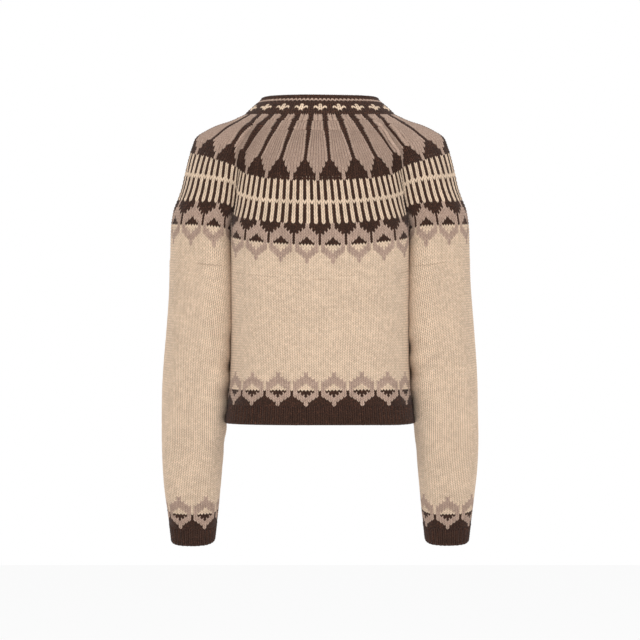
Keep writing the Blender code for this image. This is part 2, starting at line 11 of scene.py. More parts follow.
import bmesh
import bpy
import numpy as np
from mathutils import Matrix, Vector


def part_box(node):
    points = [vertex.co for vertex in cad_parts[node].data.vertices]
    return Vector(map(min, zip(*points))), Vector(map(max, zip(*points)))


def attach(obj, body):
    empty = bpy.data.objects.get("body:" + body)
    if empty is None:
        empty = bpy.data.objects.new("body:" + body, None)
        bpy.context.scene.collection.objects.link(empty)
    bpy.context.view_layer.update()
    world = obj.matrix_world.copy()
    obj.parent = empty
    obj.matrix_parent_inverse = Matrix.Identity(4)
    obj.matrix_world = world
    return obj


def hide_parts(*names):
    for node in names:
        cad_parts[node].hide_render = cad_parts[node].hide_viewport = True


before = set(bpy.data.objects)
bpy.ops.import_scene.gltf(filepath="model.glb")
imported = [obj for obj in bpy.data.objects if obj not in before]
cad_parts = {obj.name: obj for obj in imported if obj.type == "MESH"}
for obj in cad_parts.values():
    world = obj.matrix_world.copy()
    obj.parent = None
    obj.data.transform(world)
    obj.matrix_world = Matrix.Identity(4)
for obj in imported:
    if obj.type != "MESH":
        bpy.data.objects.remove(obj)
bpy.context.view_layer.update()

# %% [markdown]
# ## The garment's form
#
# A cardigan on a body is a few simple tubes. The body is a tube with a rounded, slightly boxy section, and
# each sleeve is a tube along an arm that bends a little forward. The yoke joins all three to the neck. Each
# of its columns of stitches starts at the neckband, goes over the shoulder, and ends either on the body or
# on the sleeve. Between the two it falls into a fold, which is the crease that runs up from the underarm.
#
# One way to make such a form is to sculpt it. Here it is worked out instead, from sizes a dressmaker would
# measure, because then every stitch can ask for its own place. Columns are counted in "eyes", the repeat of
# the border's eye motif: 0 is the centre back, 8.5 the outside of the arm and 17 the centre front, and
# negative numbers run round the wearer's right side.

# %% Sizes of the form, in metres
NECK_HALF_WIDTH, NECK_HALF_DEPTH = 0.121, 0.085
NECK_BACK_DROP, NECK_FRONT_DROP = 0.0044, 0.026
RIM_HALF_WIDTH, RIM_HALF_DEPTH = 0.0905, 0.0585
BAND_HEIGHT, BAND_BACK_RISE, BAND_FRONT_RISE, BAND_SWELL = 0.0262, 0.0056, 0.0028, 0.0016
NECK_CROWD = 0.06
HALF_ROUND, SHOULDER_EYE, FOLD_EYE = 17.0, 8.5, 4.4
FOLD_CROWD, FOLD_CROWD_WIDTH = 0.45, 0.9
YOKE_BACK_DROP, YOKE_ARM_RISE, YOKE_FRONT_EXTRA = 0.262, 0.032, 0.012
UNDERARM_HALF = 0.012
FOLD_STARTS = 0.36
YOKE_SQUARING = 0.35
TORSO_POWER = 2.8
SLEEVE_SQUARE, SLEEVE_EVEN = 0.05, 0.035
HEM_TOP, HEM_DROP = 0.460, 0.490
CUFF_TOP, CUFF_DROP = 0.652, 0.680
ELBOW_DROP, ELBOW_BEND = 0.30, 0.346
BUTTON_BAND_HALF = 0.015
FRONT_SQUEEZE_FROM = 15.0
WALL = 0.0026

print("sizes: neck", 2 * NECK_HALF_WIDTH, "m wide, back", HEM_DROP + BAND_HEIGHT, "m long")

# %% Outlines from the neck down, in metres
SHOULDER = {
    "share": (0, 0.09, 0.18, 0.252, 0.311, 0.378, 0.45, 0.545, 0.608, 0.667, 0.712, 0.766, 0.901, 1),
    "half_width": (0.121, 0.1435, 0.166, 0.1815, 0.196, 0.2026, 0.208, 0.2147, 0.22, 0.227, 0.233, 0.2365,
                   0.239, 0.2395),
    "drop": (0, 0.0094, 0.017, 0.025, 0.035, 0.051, 0.068, 0.094, 0.115, 0.134, 0.148, 0.164, 0.203, 0.23),
}
BACK = {
    "share": (0, 0.08, 0.2, 0.414, 0.669, 0.901, 1),
    "half_depth": (0.085, 0.0955, 0.1045, 0.11, 0.111, 0.108, 0.1065),
    "drop": (0.0044, 0.022, 0.052, 0.1085, 0.1757, 0.2366, 0.262),
}
TORSO = {
    "drop": (0.2, 0.262, 0.33, 0.38, 0.424, 0.46, 0.49),
    "half_width": (0.1432, 0.1431, 0.1422, 0.1422, 0.1434, 0.1462, 0.1488),
    "half_depth": (0.108, 0.1065, 0.105, 0.1045, 0.105, 0.1065, 0.108),
}
SLEEVE = {
    "drop": (0.2, 0.23, 0.339, 0.454, 0.514, 0.56, 0.597, 0.634, 0.661, 0.68),
    "centre": (0.1915, 0.1918, 0.194, 0.199, 0.204, 0.2045, 0.205, 0.205, 0.2052, 0.2054),
    "half_width": (0.0475, 0.0477, 0.0504, 0.052, 0.0485, 0.0465, 0.0435, 0.0398, 0.0366, 0.0345),
    "half_depth": (0.055, 0.0555, 0.056, 0.0545, 0.052, 0.049, 0.045, 0.041, 0.0375, 0.035),
}
print("outlines with", [len(next(iter(t.values()))) for t in (SHOULDER, BACK, TORSO, SLEEVE)], "places each")

# %% Read an outline, and soft steps
def curve(table, column, at):
    """Reads a column at any place of the first one, on a cubic through its rows with their mean slopes."""
    knots = np.array(next(iter(table.values())), float)
    values = np.array(table[column], float)
    slopes = np.gradient(values, knots)
    i = np.clip(np.searchsorted(knots, at, side="right") - 1, 0, len(knots) - 2)
    step = knots[i + 1] - knots[i]
    s = np.clip((at - knots[i]) / step, 0, 1)
    start = values[i] * (1 + 2 * s) * (1 - s) ** 2 + slopes[i] * step * s * (1 - s) ** 2
    end = values[i + 1] * (3 - 2 * s) * s**2 + slopes[i + 1] * step * (s - 1) * s**2
    return start + end


def smoothstep(x):
    """0 below 0, 1 above 1, and an S between."""
    x = np.clip(x, 0, 1)
    return x * x * (3 - 2 * x)


def bump_at(x, centre, width):
    """A soft hump: the exponential of minus the squared distance from its centre, in widths."""
    return np.exp(-(((x - centre) / width) ** 2))


def plateau(x, start, rise, stop, fall):
    """0, then an S up from start that takes rise, 1, and an S down from stop that takes fall."""
    return smoothstep((x - start) / rise) * (1 - smoothstep((x - stop) / fall))


print("half width of the body at the hem:", round(float(curve(TORSO, "half_width", HEM_DROP)), 4), "m")

# %% [markdown]
# ### Rings
#
# The neck opening is an ellipse and the body's section a superellipse, which is an ellipse with fuller
# corners. A sleeve is a circle pushed out at its diagonals, because a filled sleeve lies a little flat.
# Stitches are equally wide, so a place round a ring is given as a share of its length and not as an angle.
# The share is turned into an angle with a table of lengths, made once for each ring.

# %% Rings of the neck, rim, body and sleeves
SAMPLES = 2001


def ring_xy(angle, half_width, half_depth, power):
    """A superellipse: sine and cosine of the angle to the power 2 / power, times the half sizes."""
    x = half_width * np.sign(np.sin(angle)) * np.abs(np.sin(angle)) ** (2 / power)
    y = half_depth * np.sign(np.cos(angle)) * np.abs(np.cos(angle)) ** (2 / power)
    return x, y


def turn_table(half_width, half_depth, power):
    """Shares of a half ring's length, the angles there, and the length, from centre back to front."""
    angle = np.linspace(0, np.pi, SAMPLES)
    x, y = ring_xy(angle, half_width, half_depth, power)
    length = np.concatenate([[0], np.cumsum(np.hypot(np.diff(x), np.diff(y)))])
    return length / length[-1], angle, length[-1]


NECK_SHARE, NECK_ANGLE, NECK_LENGTH = turn_table(NECK_HALF_WIDTH, NECK_HALF_DEPTH, 2)
RIM_SHARE, RIM_ANGLE, RIM_LENGTH = turn_table(RIM_HALF_WIDTH, RIM_HALF_DEPTH, 2)
BODY_SHARE, BODY_ANGLE, BODY_LENGTH = turn_table(
    TORSO["half_width"][1], TORSO["half_depth"][1], TORSO_POWER
)


def body_point(share, drop):
    """A point of the body tube: share 0 is the centre back, 0.5 the side, 1 the centre front."""
    angle = np.interp(np.abs(share), BODY_SHARE, BODY_ANGLE)
    width, depth = (curve(TORSO, name, drop) for name in ("half_width", "half_depth"))
    x, y = ring_xy(angle, width, depth, TORSO_POWER)
    return np.stack([np.sign(share) * x, y, -drop + 0 * x], axis=-1)


def squared_ring(angle):
    """Sine and cosine of the angle, each with a little of its third overtone, which fills the corners."""
    turn = angle - SLEEVE_EVEN * np.sin(4 * angle)
    across = (1 + SLEEVE_SQUARE) * np.sin(turn) + SLEEVE_SQUARE * np.sin(3 * turn)
    deep = (1 + SLEEVE_SQUARE) * np.cos(turn) - SLEEVE_SQUARE * np.cos(3 * turn)
    return across, deep


def sleeve_point(angle, drop):
    """A point of the left sleeve: a ring square to an axis that bends forward below the elbow."""
    lean = np.maximum(drop - ELBOW_DROP, 0)
    tilt = np.arctan(2 * ELBOW_BEND * lean)
    across, deep = squared_ring(angle)
    depth = curve(SLEEVE, "half_depth", drop) * deep
    x = curve(SLEEVE, "centre", drop) + curve(SLEEVE, "half_width", drop) * across
    y = -ELBOW_BEND * lean**2 + depth * np.cos(tilt)
    return np.stack([x, y, -drop - depth * np.sin(tilt)], axis=-1)


FOLD_SHARE = 0.5 - UNDERARM_HALF / BODY_LENGTH
INNER_BACK = np.linspace(-np.pi / 2, 0, SAMPLES)
FOLD_ANGLE = np.interp(UNDERARM_HALF / SLEEVE["half_depth"][1], squared_ring(INNER_BACK)[1], INNER_BACK)
print("half rounds: neck", round(NECK_LENGTH, 3), "rim", round(RIM_LENGTH, 3), "body", round(BODY_LENGTH, 3))

# %% [markdown]
# ### The yoke
#
# The yoke's lower edge goes round the back, in to the underarm, out round the arm and back in, so it has
# three lobes. Its upper edge is the neck's ellipse, from which the neckband rises. Between the two a column
# follows the shoulder's outline sideways. Front to back it is a round bulge at first and gives way to the
# lobes as the fold deepens. Beside the button bands the columns are squeezed, so the front edge is straight.

# %% Where the yoke ends
CROWD_EYE = np.linspace(0, SHOULDER_EYE, SAMPLES)
CROWD_RATE = 1 + FOLD_CROWD * bump_at(CROWD_EYE, FOLD_EYE, FOLD_CROWD_WIDTH)
CROWD_LENGTH = np.concatenate([[0], np.cumsum((CROWD_RATE[1:] + CROWD_RATE[:-1]) / 2)])
CROWD_AT_FOLD = np.interp(FOLD_EYE, CROWD_EYE, CROWD_LENGTH)


def parting_drop(eye):
    """How far down the yoke ends: a sine's square lifts it on the arm, another lowers the front."""
    arm = np.sin(np.pi * np.abs(eye) / HALF_ROUND) ** 2
    front = np.sin(np.pi / 2 * np.clip(np.abs(eye) / SHOULDER_EYE - 1, 0, 1)) ** 2
    return YOKE_BACK_DROP - YOKE_ARM_RISE * arm + YOKE_FRONT_EXTRA * front


def parting_turns(eye):
    """The body's share and the sleeve's angle at each eye, with longer steps in the fold."""
    eye = np.abs(eye)
    near = np.minimum(eye, HALF_ROUND - eye)
    length = np.interp(near, CROWD_EYE, CROWD_LENGTH)
    share = FOLD_SHARE * length / CROWD_AT_FOLD
    past = (length - CROWD_AT_FOLD) / (CROWD_LENGTH[-1] - CROWD_AT_FOLD)
    angle = FOLD_ANGLE + (np.pi / 2 - FOLD_ANGLE) * past
    behind = eye <= SHOULDER_EYE
    return np.where(behind, share, 1 - share), np.where(behind, angle, np.pi - angle), near


def parting_point(eye):
    """The yoke's lower edge, on the body up to the fold and on the sleeve beyond it."""
    share, angle, near = parting_turns(eye)
    drop = parting_drop(eye)
    body, sleeve = body_point(np.clip(share, 0, 1), drop), sleeve_point(angle, drop)
    return np.where((near <= FOLD_EYE)[..., None], body, sleeve)


arm_drop = float(parting_drop(SHOULDER_EYE))
print("the yoke ends", YOKE_BACK_DROP, "m down at the back and", round(arm_drop, 3), "m down on the arm")

# %% Surface of the neckband
def neck_share(eye):
    """The share of the neck's half round at each eye, with shorter steps at the back and the front."""
    share = np.abs(eye) / HALF_ROUND
    return share - NECK_CROWD * np.sin(2 * np.pi * share) / (2 * np.pi)


def neck_point(eye):
    """The foot of the neckband: an ellipse that dips with the square of its depth at back and front."""
    turn = np.interp(neck_share(eye), NECK_SHARE, NECK_ANGLE)
    x, y = ring_xy(turn, NECK_HALF_WIDTH, NECK_HALF_DEPTH, 2)
    back, front = np.maximum(y, 0) / NECK_HALF_DEPTH, np.maximum(-y, 0) / NECK_HALF_DEPTH
    return np.stack([x, y, -NECK_BACK_DROP * back**2 - NECK_FRONT_DROP * front**2], axis=-1)


def neckband_point(eye, share):
    """A point of the neckband, from share 0 at its rim to 1 at its foot, swelling out by a half sine."""
    neck = neck_point(eye)
    x, y = ring_xy(np.interp(neck_share(eye), RIM_SHARE, RIM_ANGLE), RIM_HALF_WIDTH, RIM_HALF_DEPTH, 2)
    back, front = np.maximum(y, 0) / RIM_HALF_DEPTH, np.maximum(-y, 0) / RIM_HALF_DEPTH
    height = BAND_HEIGHT + BAND_BACK_RISE * back + BAND_FRONT_RISE * front
    x = x + (neck[..., 0] - x) * share
    y = y + (neck[..., 1] - y) * share
    z = neck[..., 2] + height * (1 - share) + BAND_SWELL * np.sin(np.pi * share)
    return np.stack([np.sign(eye) * x, y, z], axis=-1)


rim_height = float(neckband_point(np.zeros(1), np.zeros(1))[0, 2])
print("the rim is", round(rim_height, 4), "m above the origin at the centre back")

# %% Surface of the yoke
def shoulder_reach(share):
    """How far out the shoulder's outline is, from 0 at the neck to 1 at the lower edge."""
    widest = curve(SHOULDER, "half_width", share)
    return (widest - NECK_HALF_WIDTH) / (SHOULDER["half_width"][-1] - NECK_HALF_WIDTH), widest


def yoke_point(eye, share):
    """A point of the yoke, from share 0 at the neck to 1 at the lower edge.

    Past 1 it goes straight down, and before 0 up the neckband, for the rows that are tucked under.
    """
    above, beyond = np.minimum(share, 0), np.maximum(share - 1, 0) * YOKE_BACK_DROP
    share = np.clip(share, 0, 1)
    neck, foot = neck_point(eye), parting_point(eye)
    reach, widest = shoulder_reach(share)
    x = neck[..., 0] + (foot[..., 0] - neck[..., 0]) * reach
    power = 2 + YOKE_SQUARING * share
    inside = np.clip(1 - (x / widest) ** power, 0, 1)
    facing = np.where(np.abs(eye) <= SHOULDER_EYE, 1, -1)
    y_round = facing * curve(BACK, "half_depth", share) * inside ** (1 / power)
    parted = smoothstep((share - FOLD_STARTS) / (1 - FOLD_STARTS))
    y = y_round * (1 - parted) + foot[..., 1] * parted
    arm = np.sin(np.pi * np.abs(eye) / HALF_ROUND) ** 4
    back_fall = (curve(BACK, "drop", share) - NECK_BACK_DROP) / (YOKE_BACK_DROP - NECK_BACK_DROP)
    arm_fall = curve(SHOULDER, "drop", share) / SHOULDER["drop"][-1]
    fall = back_fall * (1 - arm) + arm_fall * arm
    z = neck[..., 2] + (foot[..., 2] - neck[..., 2]) * fall - beyond
    up = neckband_point(eye, 1 + above * YOKE_BACK_DROP / BAND_HEIGHT) - neckband_point(eye, 1 + 0 * above)
    return np.stack([np.sign(eye) * x, y, z], axis=-1) + up


print("the shoulders are", 2 * SHOULDER["half_width"][-1], "m across, with the sleeves")

# %% The front edge
NECK_EYE, RIM_EYE = ((1 - NECK_CROWD) * length / HALF_ROUND for length in (NECK_LENGTH, RIM_LENGTH))
FOOT_EYE = float(parting_point(np.array([HALF_ROUND - 0.4]))[0, 0]) / 0.4
FRONT_EYE = HALF_ROUND - BUTTON_BAND_HALF / FOOT_EYE


def fit_front(eye, eye_length):
    """Squeezes the columns beside the button band, so that the front edge is straight.

    eye_length is the metres to an eye at the centre front, at that height.
    """
    past = np.abs(eye) - FRONT_SQUEEZE_FROM
    edge = HALF_ROUND - BUTTON_BAND_HALF / eye_length
    room = (edge - FRONT_SQUEEZE_FROM) / (FRONT_EYE - FRONT_SQUEEZE_FROM)
    return np.sign(eye) * np.where(past > 0, FRONT_SQUEEZE_FROM + past * room, np.abs(eye))


print("front edge at eye", round(FRONT_EYE, 3), "and one eye is", round(FOOT_EYE * 1000, 1), "mm there")

# %% [markdown]
# ## Knitting
#
# In stocking stitch each loop shows as a V. The two legs of a V are fat strands that lean apart, and the
# next V of the column starts in its mouth. So the line between two rows is a zigzag, and a colour that
# changes from one row to the next changes along that zigzag. This is what makes knitted patterns look
# knitted, and it is why the grid below has zigzag rows: then every stitch is a block of whole faces.
#
# The alternatives are a picture of stitches in the material, which stays flat at the edges, and a real
# strand of yarn for every loop, which would be tens of millions of faces. A grid with four faces across a
# stitch and two down has real relief in few faces.

# %% The stitch and the rib
ZIGZAG = 0.85
RELIEF = 0.00125

STITCH = {
    "across": (0.0, 0.25, 0.5, 0.75),
    "dip": (-0.5, 0.0, 0.5, 0.0),
    "mid": (0.25, 1.0, 0.20, 1.0),
    "line": (-0.10, 0.38, -0.10, 0.38),
}
GATHERED = {**STITCH, "mid": (-0.90, 1.0, 0.10, 1.0), "line": (-1.00, 0.72, -0.10, 0.72)}
LOOSE = {**STITCH, "mid": (-0.55, 1.0, 0.15, 1.0), "line": (-0.75, 0.62, -0.15, 0.62)}
UPSIDE_DOWN = {**STITCH, "dip": (0.5, 0.0, -0.5, 0.0)}
RIB = {
    "across": (0.0, 0.20, 0.35, 0.5, 0.65, 0.80),
    "dip": (0.0, -0.5, 0.0, 0.5, 0.0, -0.5),
    "mid": (-0.75, 0.30, 1.25, 0.75, 1.25, 0.30),
    "line": (-0.95, -0.10, 0.70, 0.35, 0.70, -0.10),
}
jitter = np.random.default_rng(17)


def normals_of(form, a, b):
    """Unit normals of a form: its small step across times its small step down."""
    step = 1e-4
    normal = np.cross(form(a + step, b) - form(a - step, b), form(a, b + step) - form(a, b - step))
    return normal / np.maximum(np.linalg.norm(normal, axis=-1, keepdims=True), 1e-15)


def grid_faces(ids, flip=False):
    """The four corners of every cell of a grid of vertex numbers."""
    cells = np.stack([ids[:-1, :-1], ids[1:, :-1], ids[1:, 1:], ids[:-1, 1:]], axis=-1).reshape(-1, 4)
    return cells[:, ::-1] if flip else cells


def rim_faces(outer, inner, flip=False):
    """Triangles between a fine edge and a coarse one: half of each coarse step fans from either end."""
    ratio = (len(outer) - 1) // (len(inner) - 1)
    step = np.arange(len(outer) - 1)
    hub = step // ratio + (step % ratio >= ratio // 2)
    fans = np.stack([outer[:-1], outer[1:], inner[hub]], axis=-1)
    middles = outer[ratio // 2 :: ratio][: len(inner) - 1]
    joins = np.stack([middles, inner[1:], inner[:-1]], axis=-1)
    faces = np.vstack([fans, joins])
    owner = np.concatenate([step // ratio, np.arange(len(inner) - 1)])
    return (faces[:, ::-1] if flip else faces), owner


print("a stitch has", 2 * len(STITCH["across"]), "faces, a rib", 2 * len(RIB["across"]))

# %% [markdown]
# ### From a chart to a piece of cloth
#
# A piece is knitted from four things: the form it lies on, a lay that says where on the form each column
# and row goes, the chart of its yarns, and the kind of stitch. The cloth is closed: it has an outer face of
# raised stitches, a plainer inner face one wall below, and rims. Hand knitting is never quite even, so the
# rows wander a little, by two slow waves and a small random step. Where two yarns meet in a row, one lies
# over the other: the taupe of the motifs presses its ground aside, and the cream the dark.
#
# A tube is welded along its seam. Where it narrows, columns run out into that seam, which is what a
# knitter's decreases do. There live is 0, and the stitch has no relief.

# %% The grid of stitches and a hand's unevenness
TUCKED = 0.9
TUCK_DEPTH = 0.0004
PUSH = 0.08
ON_TOP = np.array([0.0, 2.2, 0.5])
ROW_WAVES = ((0.10, 9.1, 17.0), (0.07, 3.7, -5.3))
COLUMN_WAVE = (0.06, 11.0, 4.3)
ROW_STEP, COLUMN_STEP, RELIEF_STEP = 0.03, 0.02, 0.06


def stitch_grid(chart, stitch):
    """Column and row numbers of the outer face's points, and which point of its stitch each one is."""
    rows, columns = chart.shape
    per = len(stitch["across"])
    kind = np.append(np.tile(np.arange(per), columns), 0)
    u = np.append((np.arange(columns)[:, None] + np.array(stitch["across"])).ravel(), columns)
    u, down = np.broadcast_arrays(u[None, :], np.arange(2 * rows + 1)[:, None] / 2)
    return u, down, kind


def waves(u, down, table):
    """A sum of sines of the column and the row number: size, stitches to a turn across, and down."""
    return sum(size * np.sin(u / across + down / along) for size, across, along in table)


def pushed(chart, per):
    """Which way and how strongly each point of the outer face is pushed by the yarn that lies on top.

    It is largest halfway down a stitch, and half as large one point away from the edge.
    """
    rank = ON_TOP[chart.astype(int)]
    edge = np.zeros((len(chart), per * chart.shape[1] + 1))
    edge[:, per:-per:per] = rank[:, :-1] - rank[:, 1:]
    edge[:, 1:-1] += (edge[:, :-2] + edge[:, 2:]) / 2
    lines = np.zeros((2 * len(chart) + 1, edge.shape[1]))
    lines[1::2] = edge
    lines[2:-1:2] = 0.2 * (edge[:-1] + edge[1:])
    return lines


def first_row(v, under):
    """Rows counted from the piece's edge: the row that is tucked under is a little shorter."""
    return np.where(v < 1, TUCKED * (v - 1), v - 1) if under else v


def flat_size(cloth):
    """The longest row and column of a grid of points, and the summed area of its cells."""
    across = np.linalg.norm(np.diff(cloth, axis=1), axis=-1).sum(axis=1)
    down = np.linalg.norm(np.diff(cloth, axis=0), axis=-1).sum(axis=0)
    cells = np.cross(cloth[1:, :-1] - cloth[:-1, :-1], cloth[:-1, 1:] - cloth[:-1, :-1])
    return across.max(), down.max(), np.linalg.norm(cells, axis=-1).sum()


print("a hand's rows wander by", ROW_WAVES[0][0], "and", ROW_WAVES[1][0], "of a row")

# %% Close the cloth
def weld_seam(mesh, turn_out=False):
    """Merges the points that lie on each other along a seam, and can turn the faces outwards after it."""
    work = bmesh.new()
    work.from_mesh(mesh)
    bmesh.ops.remove_doubles(work, verts=work.verts, dist=2e-6)
    if turn_out:
        bmesh.ops.recalc_face_normals(work, faces=work.faces)
    work.to_mesh(mesh)
    work.free()


def put_in_scene(name, data):
    """Makes an object from a mesh, a lamp or a camera, unturned and at the origin."""
    obj = bpy.data.objects.new(name, data)
    bpy.context.scene.collection.objects.link(obj)
    return obj


def shell(name, outer, inner, chart, across, down, per, weld):
    """Joins the outer and inner grids into one closed mesh and writes yarns and stitch places on it."""
    o = np.arange(outer[..., 0].size).reshape(outer.shape[:2])
    i = np.arange(inner[..., 0].size).reshape(inner.shape[:2]) + o.size
    quads = np.vstack([grid_faces(o), grid_faces(i, flip=True)])
    yarns = [np.repeat(np.repeat(chart, 2, 0), per, 1).ravel(), chart.ravel()]
    edges = [(o[0], i[0], False, chart[0]), (o[-1], i[-1], True, chart[-1])]
    if not weld:
        edges += [(o[:, 0], i[:, 0], True, chart[:, 0]), (o[:, -1], i[:, -1], False, chart[:, -1])]
    rims = [rim_faces(fine, coarse, flip) for fine, coarse, flip, _ in edges]
    yarns += [line[owner] for (_, owner), (_, _, _, line) in zip(rims, edges)]
    tris = np.vstack([faces for faces, _ in rims])
    points = np.vstack([outer.reshape(-1, 3), inner.reshape(-1, 3)])
    mesh = bpy.data.meshes.new(name)
    mesh.from_pydata(points.tolist(), [], quads.tolist() + tris.tolist())
    mesh.attributes.new("yarn", "FLOAT", "FACE").data.foreach_set("value", np.concatenate(yarns))
    places = np.stack([across, down], axis=-1)
    places = np.vstack([places.reshape(-1, 2), places[::2, ::per].reshape(-1, 2)])
    corners = np.empty(len(mesh.loops), np.int32)
    mesh.loops.foreach_get("vertex_index", corners)
    mesh.uv_layers.new(name="stitch").data.foreach_set("uv", places[corners].astype(np.float32).ravel())
    if weld:
        weld_seam(mesh)
    mesh.shade_smooth()
    mesh.calc_loop_triangles()
    print(name, chart.shape, "stitches,", len(mesh.loop_triangles), "triangles")
    return put_in_scene(name, mesh)


print("a knitted piece is closed: an outer face, an inner face and its rims")

# %% Knit one piece
FLAT = {}


def knit(name, form, lay, chart, stitch=STITCH, relief=RELIEF, wall=WALL, sink=None, under=True, live=None,
         even=(False, False), push=PUSH):
    """Makes a closed piece of knitting.

    Every point is form(lay(column, row)) plus its normal times the stitch's height. With under, one more
    row goes under the piece above. The last row has no hollows, so the row that is tucked under it stays
    hidden. even says whether the first and the last edge run straight, not in a zigzag.
    """
    chart = np.vstack([chart[:1], chart]) if under else chart
    (rows, columns), per = chart.shape, len(stitch["across"])
    u, down, kind = stitch_grid(chart, stitch)
    alive = live(u, down) if live else np.ones(u.shape)
    dip = np.array(stitch["dip"])[kind] * ZIGZAG
    dip = dip * (np.clip(down, 0, 1) if even[0] else 1) * (np.clip(rows - down, 0, 1) if even[1] else 1)
    v = down + (dip + waves(u, down, ROW_WAVES) + jitter.normal(0, ROW_STEP, u.shape)) * alive
    sideways = (waves(u, down, [COLUMN_WAVE]) + jitter.normal(0, COLUMN_STEP, u.shape)) * alive
    inside = np.minimum(np.minimum(u, columns - u) / 2, 1)
    a, b = lay(u + (sideways + push * pushed(chart, per)) * inside, first_row(v, under))
    height = np.where(down % 1 > 0, np.array(stitch["mid"])[kind], np.array(stitch["line"])[kind])
    height = height * relief * alive * (1 + jitter.normal(0, RELIEF_STEP, u.shape))
    height = np.where(down > rows - 1, np.maximum(height, 0), height)
    shown = np.clip(2 * down - 1, 0, 1) if under else np.ones(u.shape)
    height = height * shown - TUCK_DEPTH * (1 - shown) - (sink(a, b) if sink else 0)
    outer = form(a, b) + normals_of(form, a, b) * height[..., None]
    a, b = lay(u[::2, ::per], first_row(down[::2, ::per], under))
    depth = wall + (sink(a, b) if sink else 0) + TUCK_DEPTH * (1 - shown[::2, ::per])
    cloth = form(a, b)
    inner = cloth - normals_of(form, a, b) * (depth + 0 * a)[..., None]
    FLAT[name] = flat_size(cloth)
    return shell(name, outer, inner, chart, u, down, per, weld=live is not None)


print("ready to knit")

# %% [markdown]
# ## Charts
#
# These are the traditional motifs of a round yoke: long petals that widen from the neck, a band of upright
# bars, and a border of pointed eyes. Each is written once, as a knitter's chart: a letter for each stitch,
# D for dark, T for taupe and C for cream. The eye's ground is a dot, because it takes one colour in its
# upper half and another in its lower half.

# %% Charts
DARK, TAUPE, CREAM = 0.0, 1.0, 2.0
YARNS = {"D": DARK, "T": TAUPE, "C": CREAM}

EYE_CHART = (
    "....T...",
    "....T...",
    "...TTT..",
    "..TTTTT.",
    ".TTTTTTT",
    ".TTT.TTT",
    ".TT...TT",
    ".T.....T",
    ".T.....T",
    ".TT...TT",
    ".TTT.TTT",
    "..TTTTT.",
    "...TTT..",
    "....T...",
    "....T...",
)
EYE_UPPER_ROWS = 8
FLOWER_CHART = (
    "DDDD",
    "DDDD",
    "TTTT",
    "DDDD",
    "DDDD",
    "DDCD",
    "DCCC",
    "DDCD",
    "DDDD",
    "DDDD",
)


def read_chart(lines, columns, ground=""):
    """Repeats a chart over the given column numbers. ground is the letter for a dot on each row."""
    letters = np.array([[YARNS.get(c, -1.0) for c in line] for line in lines])
    cloth = letters[:, np.asarray(columns) % letters.shape[1]]
    if ground:
        fill = np.array([YARNS[c] for c in ground])[:, None]
        cloth = np.where(cloth < 0, fill, cloth)
    return cloth


def eye_rows(columns, upper, lower):
    """The border of eyes, on one colour above the change and another below it."""
    ground = upper * EYE_UPPER_ROWS + lower * (len(EYE_CHART) - EYE_UPPER_ROWS)
    return read_chart(EYE_CHART, columns, ground)


def petal_rows(middles, repeat, widths):
    """Rows of petals: taupe where a stitch's middle is within half the row's width of its petal's."""
    off = (middles + repeat / 2) % repeat - repeat / 2
    return np.where(np.abs(off)[None, :] < np.array(widths)[:, None] / 2, TAUPE, DARK)


def bar_rows(middles, rows=6):
    """Cream and dark bars, one stitch each, with an all-cream row through their middle."""
    bars = np.tile(np.where(np.rint(middles) % 2 == 1, CREAM, DARK), (rows, 1))
    return np.vstack([bars, np.full((1, len(middles)), CREAM), bars])


print("eye chart", len(EYE_CHART), "rows by", len(EYE_CHART[0]), "stitches")

# %% [markdown]
# ## The camera first
#
# The photograph shows the back, straight on, from far enough away that the sleeves keep their width. A long
# lens four metres away does the same. From close by, the cuffs would look too small, because the arms bend
# away from the viewer.

# %% Camera
CAMERA_DISTANCE = 4.0
FRAME_WIDTH = 1.024
FRAME_MIDDLE = -0.326

lens = bpy.data.cameras.new("camera")
lens.sensor_width = 36.0
lens.lens = lens.sensor_width * CAMERA_DISTANCE / FRAME_WIDTH
camera = put_in_scene("camera", lens)
camera.location = (0.0, CAMERA_DISTANCE, FRAME_MIDDLE)
camera.rotation_euler = (np.pi / 2, 0.0, np.pi)
bpy.context.scene.camera = camera
print("lens", round(lens.lens, 1), "mm")

# %% [markdown]
# ## Knitting the yoke
#
# A round yoke is knitted from the neck down, with more stitches each time the petals widen: three stitches
# to a petal, then five, then eight. Each of these zones is a piece of its own here. The first row of a zone
# is tucked under the zone above, as a scale lies under the next, so no gap shows where the counts differ.
#
# ### Where the sleeves lean on the body
#
# A hanging sleeve rests against the body, and both are pressed flat where they meet. A cloth simulation
# would find that line, but would move every stitch. So the arm's form is filled out towards the body here
# and then cut off softly at the body's side: x is pushed out by as much as it would be inside.

# %% Where the sleeves lean on the body
LEAN_FULL, LEAN_GAP, LEAN_SOFT, HEM_LEAN = 0.0100, -0.0002, 0.0010, 0.0022


def leaned(point):
    """Fills the arm's cloth out towards the body, as far as it leans on it, and presses it flat there."""
    x, y, drop = np.abs(point[..., 0]), point[..., 1], -point[..., 2]
    facing = smoothstep((0.187 - x) / 0.03)
    upper_arm = LEAN_FULL * bump_at(np.abs(y), 0.038, 0.026) * plateau(drop, 0.16, 0.08, 0.30, 0.15)
    full = (upper_arm + HEM_LEAN * plateau(drop, 0.38, 0.06, 0.50, 0.06)) * facing
    width, depth = (curve(TORSO, name, drop) for name in ("half_width", "half_depth"))
    body_side = width * np.maximum(1 - np.abs(y / depth) ** TORSO_POWER, 0) ** (1 / TORSO_POWER)
    away = x - full - body_side - LEAN_GAP
    pressed = (np.sqrt(away**2 + LEAN_SOFT**2) - away) / 2 * smoothstep((drop - 0.18) / 0.05)
    return point + np.sign(point[..., :1]) * (pressed - full)[..., None] * np.array([1.0, 0.0, 0.0])


def leaning_sleeve(angle, drop):
    """The left sleeve's form, leaning on the body."""
    return leaned(sleeve_point(angle, drop))


